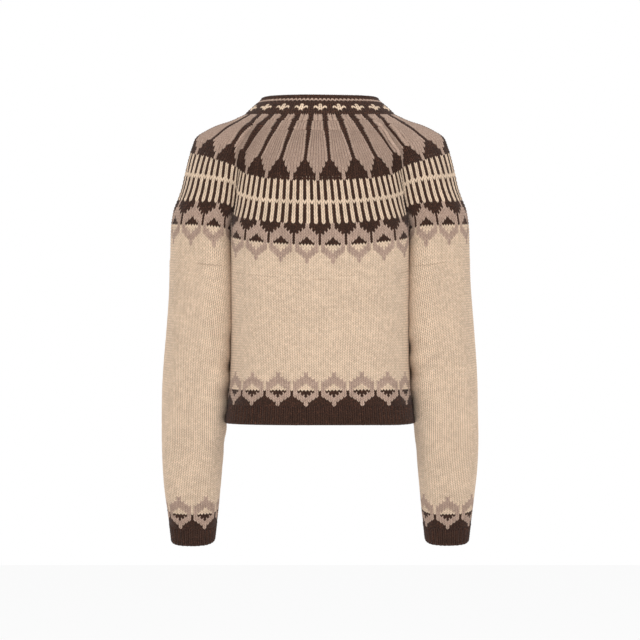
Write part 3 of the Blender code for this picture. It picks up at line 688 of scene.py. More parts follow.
def past_fold(eye):
    """Eyes from the underarm fold, positive on the arm and negative on the body."""
    return HALF_ROUND / 2 - np.abs(np.abs(eye) - HALF_ROUND / 2) - FOLD_EYE


def leaning_yoke(eye, share):
    """The yoke's form, its arms leaning on the body below."""
    point = yoke_point(eye, share)
    on_arm = smoothstep(past_fold(eye) / 0.25)[..., None]
    return point * (1 - on_arm) + leaned(point) * on_arm


print("the sleeves lean over", LEAN_FULL * 1000, "mm at the upper arm and", HEM_LEAN * 1000, "mm at the hem")

# %% [markdown]
# ### Folds
#
# The cloth of a yoke has too much width over the shoulder blade, so it drops into a sharp valley there, and
# broad soft waves run down from it. The same happens in front. These folds are put in from a table,
# because a simulation puts them somewhere else each time its settings change. On both shoulders a fold takes
# in most of one petal: there the columns are squeezed together.

# %% Folds of the yoke
def valley(eye, share, at, lean, top, bottom, wide, deep):
    """Metres that a fold sinks: a hump across the columns, times a rise and a fall along them."""
    along = smoothstep((share - top) / 0.06) * smoothstep((bottom - share) / 0.16)
    return deep * bump_at(eye, at + lean * (share - top), wide) * along


YOKE_FOLDS = (
    (5.12, -0.4, 0.06, 0.46, 0.13, 0.0048),
    (4.72, -0.4, 0.06, 0.50, 0.24, -0.0022),
    (5.60, -0.6, 0.08, 0.55, 0.34, -0.0024),
    (11.4, 0.9, 0.12, 0.58, 0.20, 0.0052),
    (11.9, 0.9, 0.10, 0.62, 0.36, -0.0024),
)


def yoke_sink(eye, share):
    """All folds of the yoke, in metres below the plain form; a ridge is a fold of negative depth."""
    eye = np.abs(eye)
    sink = sum(valley(eye, share, *fold) for fold in YOKE_FOLDS)
    drape = 0.0010 * np.sin(1.9 * eye + 6.0 * share) + 0.0008 * np.sin(3.3 * eye - 9.0 * share + 1.3)
    return sink + drape * smoothstep(share / 0.25)


deepest = yoke_sink(np.linspace(0, HALF_ROUND, 400), np.full(400, 0.3)).max()
print("deepest fold", round(float(deepest) * 1000, 1), "mm")

# %% Lay the yoke's columns and rows
PETAL_END, BARS_END = 0.414, 0.669
PETAL_ROW = PETAL_END / 26
ARM_RISE = 0.030
SHIFT_LEFT = {"share": (0, PETAL_END, BARS_END), "eyes": (0.20, 0.10, 0.0)}
DRAWN_TO_MIDDLE = 0.03
TAKEN_IN = {"eye": (3.2, 4.26, 4.44, 5.36, 5.55, 6.6), "shift": (0.0, 0.04, 0.30, -0.16, -0.12, 0.0)}
YOKE_EYE_COLUMNS = 267
COLUMNS_PER_EYE = YOKE_EYE_COLUMNS / 2 / FRONT_EYE


def middles_of(columns):
    """The middle of each stitch, counted from the centre back."""
    return np.arange(columns) - (columns - 1) / 2


def settled(eye, share):
    """Where the round's columns really lie.

    Behind they lie a little to the wearer's left, all are drawn to the middle by a sine, and a table says
    how the fold over the shoulder blade takes a petal in.
    """
    behind = smoothstep((SHOULDER_EYE + 0.5 - np.abs(eye)) / 5)
    shift = np.interp(share, SHIFT_LEFT["share"], SHIFT_LEFT["eyes"]) * behind
    drawn = DRAWN_TO_MIDDLE * smoothstep((BARS_END - share) / 0.4) * HALF_ROUND / (2 * np.pi)
    eye = eye + shift - drawn * np.sin(2 * np.pi * eye / HALF_ROUND)
    taken_in = np.interp(np.abs(eye), TAKEN_IN["eye"], TAKEN_IN["shift"]) * smoothstep((0.42 - share) / 0.10)
    return eye + np.sign(eye) * taken_in * smoothstep(share / 0.12)


def arm_rise(eye, share):
    """How much higher the rows lie on the arm's side of the underarm fold, where the fold hides the step."""
    near = past_fold(eye)
    along = plateau(share, 0.40, 0.12, 0.86, 0.12)
    return ARM_RISE * plateau(near, 0.05, 0.25, 0.5, 2.6) * along


def yoke_piece(name, chart, start, end, widen=None, stitch=STITCH, relief=RELIEF):
    """Knits one zone: its columns spread over the round, its rows from one share to another."""
    rows, columns = chart.shape

    def lay(u, v):
        """Column and row to eye and share, each moved to where it settled."""
        share = start + (end - start) * v / rows
        reach, _ = shoulder_reach(np.clip(share, 0, 1))
        eye = settled((2 * (widen(u, v) if widen else u) / columns - 1) * FRONT_EYE, share)
        return fit_front(eye, NECK_EYE + (FOOT_EYE - NECK_EYE) * reach), share - arm_rise(eye, share)

    return knit(name, leaning_yoke, lay, chart, stitch, relief, sink=yoke_sink)


print("one row of petals is", round(PETAL_ROW * YOKE_BACK_DROP * 1000, 1), "mm high")

# %% Knit the yoke
LOWER_PETALS = [7] * 12 + [5] * 2 + [3] * 2 + [1] * 3
STRIPE_BESIDE, BESIDE_EYE, BESIDE_WIDTH = 0.55, 3.3, 1.9
PLAIN_ROWS = 6


def petal_piece(name, columns, repeat, widths, start, stripe, fade, relief):
    """Knits one zone of petals, with one dark stitch between two petals.

    That stitch is a factor wider than the others, and more so beside the shoulder blade's fold: stripe is
    the factor at the zone's first row and at the row where the fade ends.
    """
    def widen(u, v):
        """Moves columns away from a petal's middle, most at its edge, so that the stripe gains width."""
        off = (u - columns / 2 + repeat / 2) % repeat - repeat / 2
        beside = STRIPE_BESIDE * bump_at(np.abs(2 * u / columns - 1) * FRONT_EYE, BESIDE_EYE, BESIDE_WIDTH)
        gain = (stripe[0] + (stripe[1] - stripe[0]) * smoothstep(v / fade) - 1 + beside) / 2
        slope = np.minimum(np.abs(off) / (repeat / 2 - 0.5), (repeat / 2 - np.abs(off)) / 0.5)
        return u - gain * np.sign(off) * slope

    chart = petal_rows(middles_of(columns), repeat, widths)
    end = start + len(widths) * PETAL_ROW
    return yoke_piece(name, chart, start, end, widen, GATHERED if repeat < 8 else LOOSE, relief)


def eyes_of_yoke(columns):
    """Eyes on dark above and cream below, then plain cream rows."""
    eyes = eye_rows(np.rint(middles_of(columns)).astype(int), "D", "C")
    return np.vstack([eyes, np.full((PLAIN_ROWS, columns), CREAM)])


petals_top = petal_piece("yoke_petals_top", 82, 3, [2] * 3, 0.0, (1.15, 1.20), 1, 0.0018)
petals_middle = petal_piece("yoke_petals_middle", 136, 5, [4] * 4, 3 * PETAL_ROW, (1.65, 1.70), 4, 0.0014)
petals = petal_piece("yoke_petals", 219, 8, LOWER_PETALS, 7 * PETAL_ROW, (2.25, 1.25), 8, 0.0015)
bars = yoke_piece("yoke_bars", bar_rows(middles_of(219)), PETAL_END, BARS_END)
yoke_eyes = yoke_piece("yoke_eyes", eyes_of_yoke(YOKE_EYE_COLUMNS), BARS_END, 1.0)

# %% [markdown]
# ## Neckband
#
# The neckband goes on up from the yoke, narrower with every round, and its rim rolls out a little. It
# carries one taupe round and a small flower. Its stitches are larger and stand the other way up, because it
# was picked up and knitted from the yoke.

# %% Knit the neckband
NECKBAND_COLUMNS = 73
TAUPE_ROUND = ((-2, 2, 3, 12), (-2, 1.95, 3.0, 12))
ROLL = 0.0022


def neckband_lay(u, v):
    """Columns as on the yoke, rows from the rim down to the foot, with the taupe round a little taller."""
    share = np.interp(v, *TAUPE_ROUND) / len(FLOWER_CHART)
    eye = (2 * u / NECKBAND_COLUMNS - 1) * FRONT_EYE
    return fit_front(eye, RIM_EYE + (NECK_EYE - RIM_EYE) * share), share


def neckband_sink(eye, share):
    """The rim rolls out, most at its edge, and the roll ends a fifth of the way down."""
    return -ROLL * (1 - smoothstep(share / 0.2)) + 0 * eye


flower_columns = np.rint(middles_of(NECKBAND_COLUMNS)).astype(int) + 2
flowers = read_chart(FLOWER_CHART, flower_columns)
neckband = knit(
    "neckband_knit", neckband_point, neckband_lay, flowers, UPSIDE_DOWN, 0.0015, sink=neckband_sink,
    under=False, even=(True, True), push=-0.30,
)

# %% [markdown]
# ## Body
#
# The body hangs from the yoke. Its columns start where the yoke's end, crowded at the underarm, and spread
# evenly towards the hem. It has side seams, so the back and the two fronts are pieces of their own.

# %% Where body and sleeves start
def start_table():
    """Shares and drops of the yoke's lower edge on the body, and angles and drops on the sleeve."""
    eye = np.linspace(0, HALF_ROUND, 801)
    share, angle, near = parting_turns(eye)
    drop = parting_drop(eye)
    on_body = near <= FOLD_EYE
    return share[on_body], angle[~on_body], drop[on_body], drop[~on_body], eye[on_body], eye[~on_body]


BODY_SHARES, ARM_ANGLES, BODY_DROPS, ARM_DROPS, BODY_EYES, ARM_EYES = start_table()
BACK_HALF = BODY_EYES <= FOLD_EYE
SIDE_COLUMN = 38.5
FRONT_COLUMNS = 36
FRONT_FIRST = (HALF_ROUND - FRONT_EYE) * COLUMNS_PER_EYE
FRONT_SHARE = 1 - BUTTON_BAND_HALF / BODY_LENGTH
BODY_ROWS, EYE_ROW = 38, 0.0035
BORDER_ROWS = len(EYE_CHART)
EYES_TOP = HEM_TOP - BORDER_ROWS * EYE_ROW


print("the body has", BODY_ROWS, "plain rows and a border of", BORDER_ROWS)

# %% Lay the body's columns and rows
def share_at_top(column, side):
    """The body's share of a column of the yoke, counted from the centre; the side seam is at 0.5."""
    columns = np.append(BODY_EYES[BACK_HALF] * COLUMNS_PER_EYE, side)
    shares = np.append(BODY_SHARES[BACK_HALF], 0.5)
    return np.sign(column) * np.interp(np.abs(column), columns, shares)


def body_rows(share, v):
    """Drops of the body's rows: even ones down to the border, then the border's own."""
    top = np.interp(np.abs(share), BODY_SHARES, BODY_DROPS)
    plain = top + (EYES_TOP - top) * v / BODY_ROWS
    return np.where(v < BODY_ROWS, plain, EYES_TOP + (v - BODY_ROWS) * EYE_ROW)


def back_lay(u, v):
    """Columns of the back, which spread from the yoke's spacing to an even one."""
    column = u - SIDE_COLUMN
    spread = smoothstep(v / BODY_ROWS)
    share = share_at_top(column, SIDE_COLUMN) * (1 - spread) + 0.5 * column / SIDE_COLUMN * spread
    return share, body_rows(share, v)


def front_lay(u, v):
    """Columns of the left front, from the side seam to the button band."""
    spread = smoothstep(v / BODY_ROWS)
    column = FRONT_FIRST + FRONT_COLUMNS - u
    top = 1 - share_at_top(column, FRONT_FIRST + FRONT_COLUMNS)
    share = top * (1 - spread) + (0.5 + (FRONT_SHARE - 0.5) * u / FRONT_COLUMNS) * spread
    return share, body_rows(share, v)


def right_front_lay(u, v):
    """The right front is the left one turned round."""
    share, drop = front_lay(FRONT_COLUMNS - u, v)
    return -share, drop


print("the left front starts at share", round(FRONT_SHARE, 3), "of the half round")

# %% Knit the body
def body_chart(columns):
    """Plain cream, then eyes on cream above and dark below."""
    return np.vstack([np.full((BODY_ROWS, len(columns)), CREAM), eye_rows(columns, "C", "D")])


def body_sink(share, drop):
    """Soft standing waves of a hanging body, deeper towards the hem and still where the sleeves lean on it.

    At the sides the hem flares out by a hump that grows from the border down.
    """
    low = smoothstep((drop - 0.24) / 0.2)
    wave = 0.0012 * np.sin(17 * share + 5 * drop) + 0.0007 * np.sin(31 * share - 12 * drop + 1)
    flare = 0.0018 * bump_at(np.abs(share), 0.5, 0.06) * smoothstep((drop - 0.38) / 0.09)
    return wave * (0.35 + 0.65 * low) * (1 - bump_at(np.abs(share), 0.5, 0.12)) - flare


back_columns = np.rint(middles_of(77)).astype(int)
front_columns = np.arange(FRONT_COLUMNS)[::-1] + round(FRONT_FIRST)
body_back = knit("back_knit", body_point, back_lay, body_chart(back_columns), sink=body_sink)
front_left = knit("front_left_knit", body_point, front_lay, body_chart(front_columns), sink=body_sink)
front_right = knit(
    "front_right_knit", body_point, right_front_lay, body_chart(front_columns[::-1]), sink=body_sink
)

# %% [markdown]
# ## Ribbed hem
#
# Ribbing is a knit column and a purl column by turns. The knit column stands up as a row of Vs and the purl
# one sinks back, which is what lets a hem draw in.

# %% Knit the hem
HEM_ROWS, HEM_RIB, RIB_RELIEF = 8, 0.0070, 0.0014


def hem_piece(name, start, end):
    """Ribs between two shares of the body's round, from the border down to the hem's edge."""
    ribs = round(abs(end - start) * BODY_LENGTH / HEM_RIB)

    def lay(u, v):
        """Ribs evenly from start to end, rows evenly down."""
        return start + (end - start) * u / ribs, HEM_TOP + (HEM_DROP - HEM_TOP) * v / HEM_ROWS + 0 * u

    chart = np.full((HEM_ROWS, ribs), DARK)
    return knit(name, body_point, lay, chart, RIB, RIB_RELIEF, sink=body_sink, even=(False, True))


hem_back = hem_piece("hem_back_knit", -0.5, 0.5)
hem_left = hem_piece("hem_front_left_knit", 0.5, FRONT_SHARE)
hem_right = hem_piece("hem_front_right_knit", -FRONT_SHARE, -0.5)

# %% [markdown]
# ## Sleeves
#
# A sleeve starts with the yoke's own columns and a few more from the underarm. On the way down it loses
# stitches in pairs at the underarm seam, so the columns on the outside of the arm stay straight. The right
# sleeve is the left one turned over: its x and the sense of its turning both change sign, so that its faces
# still point outwards. Its creases lie 3 cm higher, because no two arms hang alike.

# %% Lay the sleeves' columns and rows
SLEEVE_COLUMNS, CUFF_COLUMNS = 70, 52
SLEEVE_ROWS = 96
SLEEVE_FIRST = 35.5
ARM_COLUMNS = ARM_EYES * COLUMNS_PER_EYE - SLEEVE_FIRST
OUTSIDE_COLUMN = SHOULDER_EYE * COLUMNS_PER_EYE - SLEEVE_FIRST
SEAM_ANGLE = float(np.interp(0.0, ARM_COLUMNS, ARM_ANGLES))
SEAM_DROP = float(np.interp(SEAM_ANGLE, ARM_ANGLES, ARM_DROPS))
CUFF_EYES_TOP = CUFF_TOP - BORDER_ROWS * EYE_ROW


def free_angle(u, v):
    """The angle of a column before the seam takes it: the yoke's at the top, an even one at the cuff."""
    columns = np.append(ARM_COLUMNS, SLEEVE_COLUMNS)
    top = np.interp(u, columns, np.append(ARM_ANGLES, SEAM_ANGLE + 2 * np.pi))
    even = np.pi / 2 + (u - OUTSIDE_COLUMN) * 2 * np.pi / CUFF_COLUMNS
    spread = np.clip(v / SLEEVE_ROWS, 0, 1)
    return top * (1 - spread) + even * spread


def sleeve_lay(u, v):
    """Angles kept within one turn from the seam, and rows from the yoke to the cuff."""
    angle = np.clip(free_angle(u, v), SEAM_ANGLE, SEAM_ANGLE + 2 * np.pi)
    top = np.interp(angle, np.append(ARM_ANGLES, SEAM_ANGLE + 2 * np.pi), np.append(ARM_DROPS, SEAM_DROP))
    plain = top + (CUFF_EYES_TOP - top) * v / SLEEVE_ROWS
    return angle, np.where(v < SLEEVE_ROWS, plain, CUFF_EYES_TOP + (v - SLEEVE_ROWS) * EYE_ROW)


def sleeve_live(u, v):
    """1 where a stitch is still on the needles, 0 where the seam has taken it."""
    angle = free_angle(u, v - 1)
    return ((angle > SEAM_ANGLE + 0.01) & (angle < SEAM_ANGLE + 2 * np.pi - 0.01)).astype(float)


def sleeve_sink(angle, drop):
    """Creases of a slightly bent arm: short ones inside the elbow, and long soft waves down the arm."""
    inside = smoothstep((np.sin(angle - np.pi) + 0.2) / 1.2)
    elbow = 0.0022 * np.sin((drop + 0.012 * np.sin(angle)) * 150) * bump_at(drop, 0.42, 0.09) * inside
    wave = 0.0012 * np.sin(3 * angle + 14 * drop) + 0.0008 * np.sin(5 * angle - 23 * drop)
    wave *= 1 - bump_at(np.sin(angle), -1.0, 0.3)
    return elbow + wave * smoothstep((drop - 0.22) / 0.1) * smoothstep((0.65 - drop) / 0.06)


print("the seam takes", SLEEVE_COLUMNS - CUFF_COLUMNS, "stitches of each sleeve on the way down")

# %% Knit the sleeves
def other_side(form, lay, columns):
    """The form and lay of the same piece on the wearer's right: x and the turning both change sign."""
    def right_form(a, b):
        """The left form at the opposite turning, with x reversed."""
        return form(-a, b) * np.array([-1.0, 1.0, 1.0])

    def right_lay(u, v):
        """The left lay with its columns counted from the other end."""
        a, b = lay(columns - u, v)
        return -a, b

    return right_form, right_lay


def sleeve_chart(first):
    """Plain cream, then eyes on cream above and dark below, starting at one of the chart's columns."""
    columns = np.arange(SLEEVE_COLUMNS) + first
    return np.vstack([np.full((SLEEVE_ROWS, SLEEVE_COLUMNS), CREAM), eye_rows(columns, "C", "D")])


sleeve_left = knit(
    "sleeve_left_knit", leaning_sleeve, sleeve_lay, sleeve_chart(5), sink=sleeve_sink, live=sleeve_live
)
right_form, right_lay = other_side(leaning_sleeve, sleeve_lay, SLEEVE_COLUMNS)
sleeve_right = knit(
    "sleeve_right_knit", right_form, right_lay, sleeve_chart(2),
    sink=lambda a, b: sleeve_sink(-a, b + 0.03), live=lambda u, v: sleeve_live(SLEEVE_COLUMNS - u, v),
)

# %% Knit the cuffs
CUFF_RIBS, CUFF_ROWS = 34, 7


def cuff_lay(u, v):
    """Ribs all the way round, from the border down to the wrist."""
    return SEAM_ANGLE + 2 * np.pi * u / CUFF_RIBS, CUFF_TOP + (CUFF_DROP - CUFF_TOP) * v / CUFF_ROWS + 0 * u


def cuff_live(u, v):
    """Everything but the seam itself."""
    return ((u > 0) & (u < CUFF_RIBS)).astype(float)


cuff_chart = np.full((CUFF_ROWS, CUFF_RIBS), DARK)
cuff_knitting = (cuff_chart, RIB, RIB_RELIEF)
cuff_edges = {"live": cuff_live, "even": (False, True)}
cuff_left = knit("cuff_left_knit", sleeve_point, cuff_lay, *cuff_knitting, **cuff_edges)
right_form, right_lay = other_side(sleeve_point, cuff_lay, CUFF_RIBS)
cuff_right = knit("cuff_right_knit", right_form, right_lay, *cuff_knitting, **cuff_edges)

# %% [markdown]
# ## Button bands
#
# The front is open from rim to hem. The left band lies in the opening and carries the buttons' threads, and
# the right one laps over it. Both are ribbed lengthwise and follow one line down the centre front, which is
# taken from the forms above. They are a little wider than the opening, so no slit shows beside them.

# %% The line down the centre front
BAND_ROWS, GAP = 128, 0.0003
BAND_LEFT_EDGE, BAND_RIGHT_EDGE = 0.0168, -0.017


def front_line():
    """The centre front from the neckband's rim to the hem, as lengths along it and y and z there."""
    rim = neckband_point(np.full(4, HALF_ROUND), np.array([0.0, 0.3, 0.6, 0.9]))
    share = np.array([0.03, 0.10, 0.18, 0.27, 0.36, 0.46, 0.57, 0.68, 0.79, 0.90])
    yoke = yoke_point(np.full(share.shape, HALF_ROUND), share)
    drop = np.linspace(parting_drop(HALF_ROUND), HEM_DROP, 9)
    line = np.vstack([rim, yoke, body_point(np.ones(drop.shape), drop)])[:, 1:]
    length = np.concatenate([[0], np.cumsum(np.hypot(*np.diff(line, axis=0).T))])
    return {"length": length, "y": line[:, 0], "z": line[:, 1]}


FRONT = front_line()
FRONT_LENGTH = FRONT["length"][-1]


def front_frame(length):
    """The place and the outward normal of the front line at a length along it, in y and z."""
    y, z = curve(FRONT, "y", length), curve(FRONT, "z", length)
    back = np.clip(length - 0.002, 0, FRONT_LENGTH - 0.004)
    along = np.stack([curve(FRONT, name, back + 0.004) - curve(FRONT, name, back) for name in "yz"])
    along /= np.linalg.norm(along, axis=0)
    return y, z, along[1], -along[0]


print("front line", round(FRONT_LENGTH, 3), "m")

# %% Knit the bands
def band_form(out):
    """A strip down the front at a distance outside its line. It runs from the left edge to the right."""
    def form(across, length):
        """The line's place plus its normal times the distance, with x reversed."""
        y, z, normal_y, normal_z = front_frame(length)
        return np.stack([-across, y + out * normal_y, z + out * normal_z], axis=-1)
    return form


def band_piece(name, out, left, right, ribs):
    """A ribbed strip as long as the front."""
    def lay(u, v):
        """Ribs evenly from edge to edge, rows evenly down the line."""
        return -(left + (right - left) * u / ribs), FRONT_LENGTH * v / BAND_ROWS + 0 * u
    chart = np.full((BAND_ROWS, ribs), DARK)
    return knit(name, band_form(out), lay, chart, RIB, RIB_RELIEF, under=False)


band_under = band_piece("band_left_knit", -GAP - 0.0012, BAND_LEFT_EDGE, -BAND_LEFT_EDGE, 5)
band_over = band_piece("band_right_knit", WALL + GAP, BAND_LEFT_EDGE, BAND_RIGHT_EDGE, 5)

# %% [markdown]
# ## Buttons
#
# Seven turned buttons of dark horn. A button is a dish: a profile from the middle to the edge, carried
# round, with four holes pressed into it. Thread in the dark wool goes through the holes in two short bars.

# %% A button's face
BUTTON_RADIUS, BUTTON_THICK = 0.009, 0.0034
HOLE_OFF, HOLE_RADIUS = 0.0019, 0.00085
BUTTON_SIDES, BUTTON_RINGS = 64, 26
STRANDS, STRAND_RADIUS, STRAND_APART = (-1, 0, 1), 0.00024, 0.00034


def button_face(x, y):
    """Height of the button's face: a dish with a raised, rounded rim and four holes."""
    r = np.hypot(x, y) / BUTTON_RADIUS
    dish = 0.62 + 0.38 * smoothstep((r - 0.55) / 0.22)
    edge = np.sqrt(np.clip(1 - ((r - 0.82) / 0.19).clip(0, 1) ** 2, 0, 1))
    hole = np.hypot(np.abs(x) - HOLE_OFF, np.abs(y) - HOLE_OFF) / HOLE_RADIUS
    return BUTTON_THICK * (dish * (0.35 + 0.65 * edge) - 0.45 * smoothstep((1.15 - hole) / 0.3))


def disc_grid(rings, sides):
    """x and y of rings that are closer together at the edge, and the first column again at the end."""
    r = BUTTON_RADIUS * np.sin(np.linspace(0, np.pi / 2, rings))[:, None]
    turn = np.linspace(0, 2 * np.pi, sides + 1)[None, :]
    return r * np.cos(turn), r * np.sin(turn)


def tube(path, radius, sides=8):
    """Points of a tube along a path: circles square to its steps, closed to a point at both ends."""
    along = np.gradient(path, axis=0)
    along /= np.linalg.norm(along, axis=1, keepdims=True)
    first = np.cross(along, [0.37, 0.51, 0.78])
    first /= np.linalg.norm(first, axis=1, keepdims=True)
    second = np.cross(along, first)
    turn = np.linspace(0, 2 * np.pi, sides + 1)[None, :, None]
    thick = radius * np.minimum(1, 3 * np.sin(np.linspace(0, np.pi, len(path))))[:, None, None]
    return path[:, None] + thick * (np.cos(turn) * first[:, None] + np.sin(turn) * second[:, None])


print("a button is", 2000 * BUTTON_RADIUS, "mm across and", 1000 * BUTTON_THICK, "mm thick")

# %% Turn the buttons
def closed_piece(name, grids):
    """One mesh of several grids, each closed by merging its first and last column and its poles."""
    starts = np.cumsum([0] + [grid[..., 0].size for grid in grids])
    numbers = [np.arange(grid[..., 0].size).reshape(grid.shape[:2]) + at for grid, at in zip(grids, starts)]
    mesh = bpy.data.meshes.new(name)
    points = np.vstack([grid.reshape(-1, 3) for grid in grids])
    mesh.from_pydata(points.tolist(), [], np.vstack([grid_faces(ids) for ids in numbers]).tolist())
    weld_seam(mesh, turn_out=True)
    mesh.shade_smooth()
    return put_in_scene(name, mesh)


def thread_grids(seat, side, up, out):
    """Two bars of thread from hole to hole, each of three strands that arch over the face."""
    t = np.linspace(-1, 1, 13)
    lift = BUTTON_THICK * (0.30 + 0.42 * np.sqrt(np.clip(1 - t**4, 0, 1)))
    for bar in (-1, 1):
        for strand in STRANDS:
            x, y = HOLE_OFF * t, bar * HOLE_OFF + STRAND_APART * strand * (1 - 0.5 * t**2)
            yield tube(seat + x[:, None] * side + y[:, None] * up + lift[:, None] * out, STRAND_RADIUS)


def button_piece(number):
    """One button on its place, with its face and a flat back, and its thread."""
    x, y = disc_grid(BUTTON_RINGS, BUTTON_SIDES)
    low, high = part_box(f"button_{number}")
    middle = (np.array(low) + np.array(high)) / 2
    at = np.interp(-middle[2], -FRONT["z"], FRONT["length"])
    normal_y, normal_z = front_frame(np.array([at]))[2:]
    out = np.array([0.0, normal_y[0], normal_z[0]])
    side = np.array([1.0, 0.0, 0.0])
    up = np.cross(out, side)
    seat = middle - out * BUTTON_THICK / 2
    flat = x[..., None] * side + y[..., None] * up
    face = seat + flat + button_face(x, y)[..., None] * out
    back = seat + flat * 0.96
    button = closed_piece(f"button_{number}_turned", [np.vstack([face, back[::-1]])])
    return button, closed_piece(f"button_{number}_thread", list(thread_grids(seat, side, up, out)))


buttons = [button_piece(number) for number in range(1, 8)]
print(len(buttons), "buttons,", len(buttons[0][0].data.polygons), "faces each")

# %% [markdown]
# ## Finishes
#
# Maths in a material is easier to read as a line of Python than as a chain of nodes. Signal wraps a socket,
# and an expression on it adds the Math nodes. Nodes of every other kind come from Finish.add.

# %% A socket as a number
class Signal:
    """A socket that carries a number, with the operators used here."""

    def __init__(self, tree, socket):
        """Keeps the socket and the tree that new nodes go into."""
        self.tree, self.socket = tree, socket

    def math(self, operation, *values):
        """A Math node on the given values, each a number or a signal."""
        node = self.tree.nodes.new("ShaderNodeMath")
        node.operation = operation
        for entry, value in zip(node.inputs, values):
            if isinstance(value, Signal):
                self.tree.links.new(value.socket, entry)
            else:
                entry.default_value = value
        return Signal(self.tree, node.outputs[0])

    def __add__(self, other):
        """The sum, from either side."""
        return self.math("ADD", self, other)

    def __sub__(self, other):
        """This less the other."""
        return self.math("SUBTRACT", self, other)

    def __mul__(self, other):
        """The product, from either side."""
        return self.math("MULTIPLY", self, other)

    def __rsub__(self, other):
        """The other less this, as in 1 - mask."""
        return self.math("SUBTRACT", other, self)

    __radd__, __rmul__ = __add__, __mul__

    def sine(self):
        """The sine, of radians."""
        return self.math("SINE", self)

    def size(self):
        """The number without its sign."""
        return self.math("ABSOLUTE", self)

    def part(self):
        """What is past the whole number below."""
        return self.math("FRACT", self)

    def whole(self):
        """The whole number below."""
        return self.math("FLOOR", self)

    def limit(self):
        """The same number kept between 0 and 1."""
        node = self.math("ADD", self, 0.0)
        node.socket.node.use_clamp = True
        return node


print("numbers in a material can be added, subtracted and multiplied")

# %% A material with one method that adds a node
class Finish:
    """A material and its shader, with one method that adds a node."""

    def __init__(self, name, **constants):
        """Makes the material and sets its constants on the shader's own sockets."""
        self.material = bpy.data.materials.new(name)
        self.material.use_nodes = True
        self.tree = self.material.node_tree
        self.shader = self.tree.nodes["Principled BSDF"]
        for socket, value in constants.items():
            self.shader.inputs[socket.replace("_", " ")].default_value = value

    def add(self, kind, settings=None, **sockets):
        """Adds a node, sets its settings and then its sockets, to values, signals or other sockets."""
        node = self.tree.nodes.new(kind)
        for key, value in (settings or {}).items():
            setattr(node, key, value)
        for key, value in sockets.items():
            entry = node.inputs[int(key[1:])] if key[1:].isdigit() else node.inputs[key.replace("_", " ")]
            self.feed(entry, value)
        return node

    def feed(self, entry, value):
        """Links or sets one socket."""
        if isinstance(value, Signal):
            self.tree.links.new(value.socket, entry)
        elif isinstance(value, bpy.types.NodeSocket):
            self.tree.links.new(value, entry)
        else:
            entry.default_value = value

    def signal(self, socket):
        """The socket as a number."""
        return Signal(self.tree, socket)

    def place(self):
        """The Object coordinates, in metres from the origin."""
        return self.add("ShaderNodeTexCoord").outputs["Object"]

    def bump(self, height, strength, distance):
        """Feeds the shader's normal from a height."""
        node = self.add("ShaderNodeBump", Height=height, Strength=strength, Distance=distance)
        self.feed(self.shader.inputs["Normal"], node.outputs["Normal"])

    def noise(self, scale, detail=2.0, roughness=0.5, at=None):
        """Noise from 0 to 1, on Object coordinates or another vector."""
        at = at or self.place()
        node = self.add("ShaderNodeTexNoise", Vector=at, Scale=scale, Detail=detail, Roughness=roughness)
        return self.signal(node.outputs["Fac"])

    def mix(self, share, first, second):
        """A colour between two, each a tuple or a socket."""
        node = self.add("ShaderNodeMix", {"data_type": "RGBA"})
        for name, value in (("Factor_Float", share), ("A_Color", first), ("B_Color", second)):
            entry = next(s for s in node.inputs if s.identifier == name)
            self.feed(entry, (*value, 1.0) if isinstance(value, tuple) else value)
        return next(s for s in node.outputs if s.identifier == "Result_Color")


print("material helpers ready")

# %% [markdown]
# ### Wool
#
# Woollen yarn is never one colour. The brown is spun from fleece with reddish and nearly black fibres in
# it, the taupe is a heather of light and dark ones, and the cream varies least. Each stitch takes up a
# little more or less of each, so its shade differs from its neighbour's. The colours come from the yarn that
# each face was knitted in. A picture could hold all this, but it would have to be drawn, and a noise in
# Object coordinates never repeats.
#
# In the creases between the legs of the Vs the light hardly gets out, so there the colour is painted darker,
# as painted shade. The taupe columns near the neck are gathered: they stand apart, and painted shade lies in
# dark gutters between them. The twist of the plies is a fine slanting wave in the bump.

# %% The yarns' colours
YARN_COLOURS = {
    "dark": ((0.050, 0.0250, 0.0170), (0.150, 0.060, 0.036), (0.022, 0.012, 0.009)),
    "taupe": ((0.495, 0.346, 0.268), (0.650, 0.490, 0.398), (0.300, 0.198, 0.150)),
    "cream": ((0.793, 0.600, 0.437), (0.870, 0.690, 0.530), (0.660, 0.474, 0.328)),
}

wool = Finish(
    "wool", Metallic=0.0, Sheen_Weight=0.08, Sheen_Roughness=0.5, Specular_IOR_Level=0.08
)
stitch_place = wool.add("ShaderNodeUVMap", {"uv_map": "stitch"}).outputs["UV"]
split = wool.add("ShaderNodeSeparateXYZ", Vector=stitch_place)
column, row = wool.signal(split.outputs["X"]), wool.signal(split.outputs["Y"])
yarn = wool.signal(wool.add("ShaderNodeAttribute", {"attribute_name": "yarn"}).outputs["Fac"])

fibres = wool.noise(1100.0, 3.0, 0.65)
flecks = wool.noise(520.0, 2.0, 0.6)
clouds = wool.noise(26.0, 3.0, 0.55)
stitch_id = wool.add("ShaderNodeCombineXYZ", X=column.whole(), Y=row.whole())
chance = wool.add("ShaderNodeTexWhiteNoise", {"noise_dimensions": "2D"}, Vector=stitch_id.outputs[0])
shade = wool.signal(chance.outputs["Value"])


def heather(colours):
    """A yarn's colour: its own, with lighter and darker fibres where the flecks' noise runs high or low."""
    own, light, deep = colours
    lighter = wool.mix(((flecks - 0.54) * 5.0).limit(), own, light)
    return wool.mix(((0.45 - flecks) * 5.0).limit(), lighter, deep)


dark_to_taupe = wool.mix(yarn.limit(), heather(YARN_COLOURS["dark"]), heather(YARN_COLOURS["taupe"]))
dyed = wool.mix((yarn - 1.0).limit(), dark_to_taupe, heather(YARN_COLOURS["cream"]))
print("yarns:", ", ".join(YARN_COLOURS))
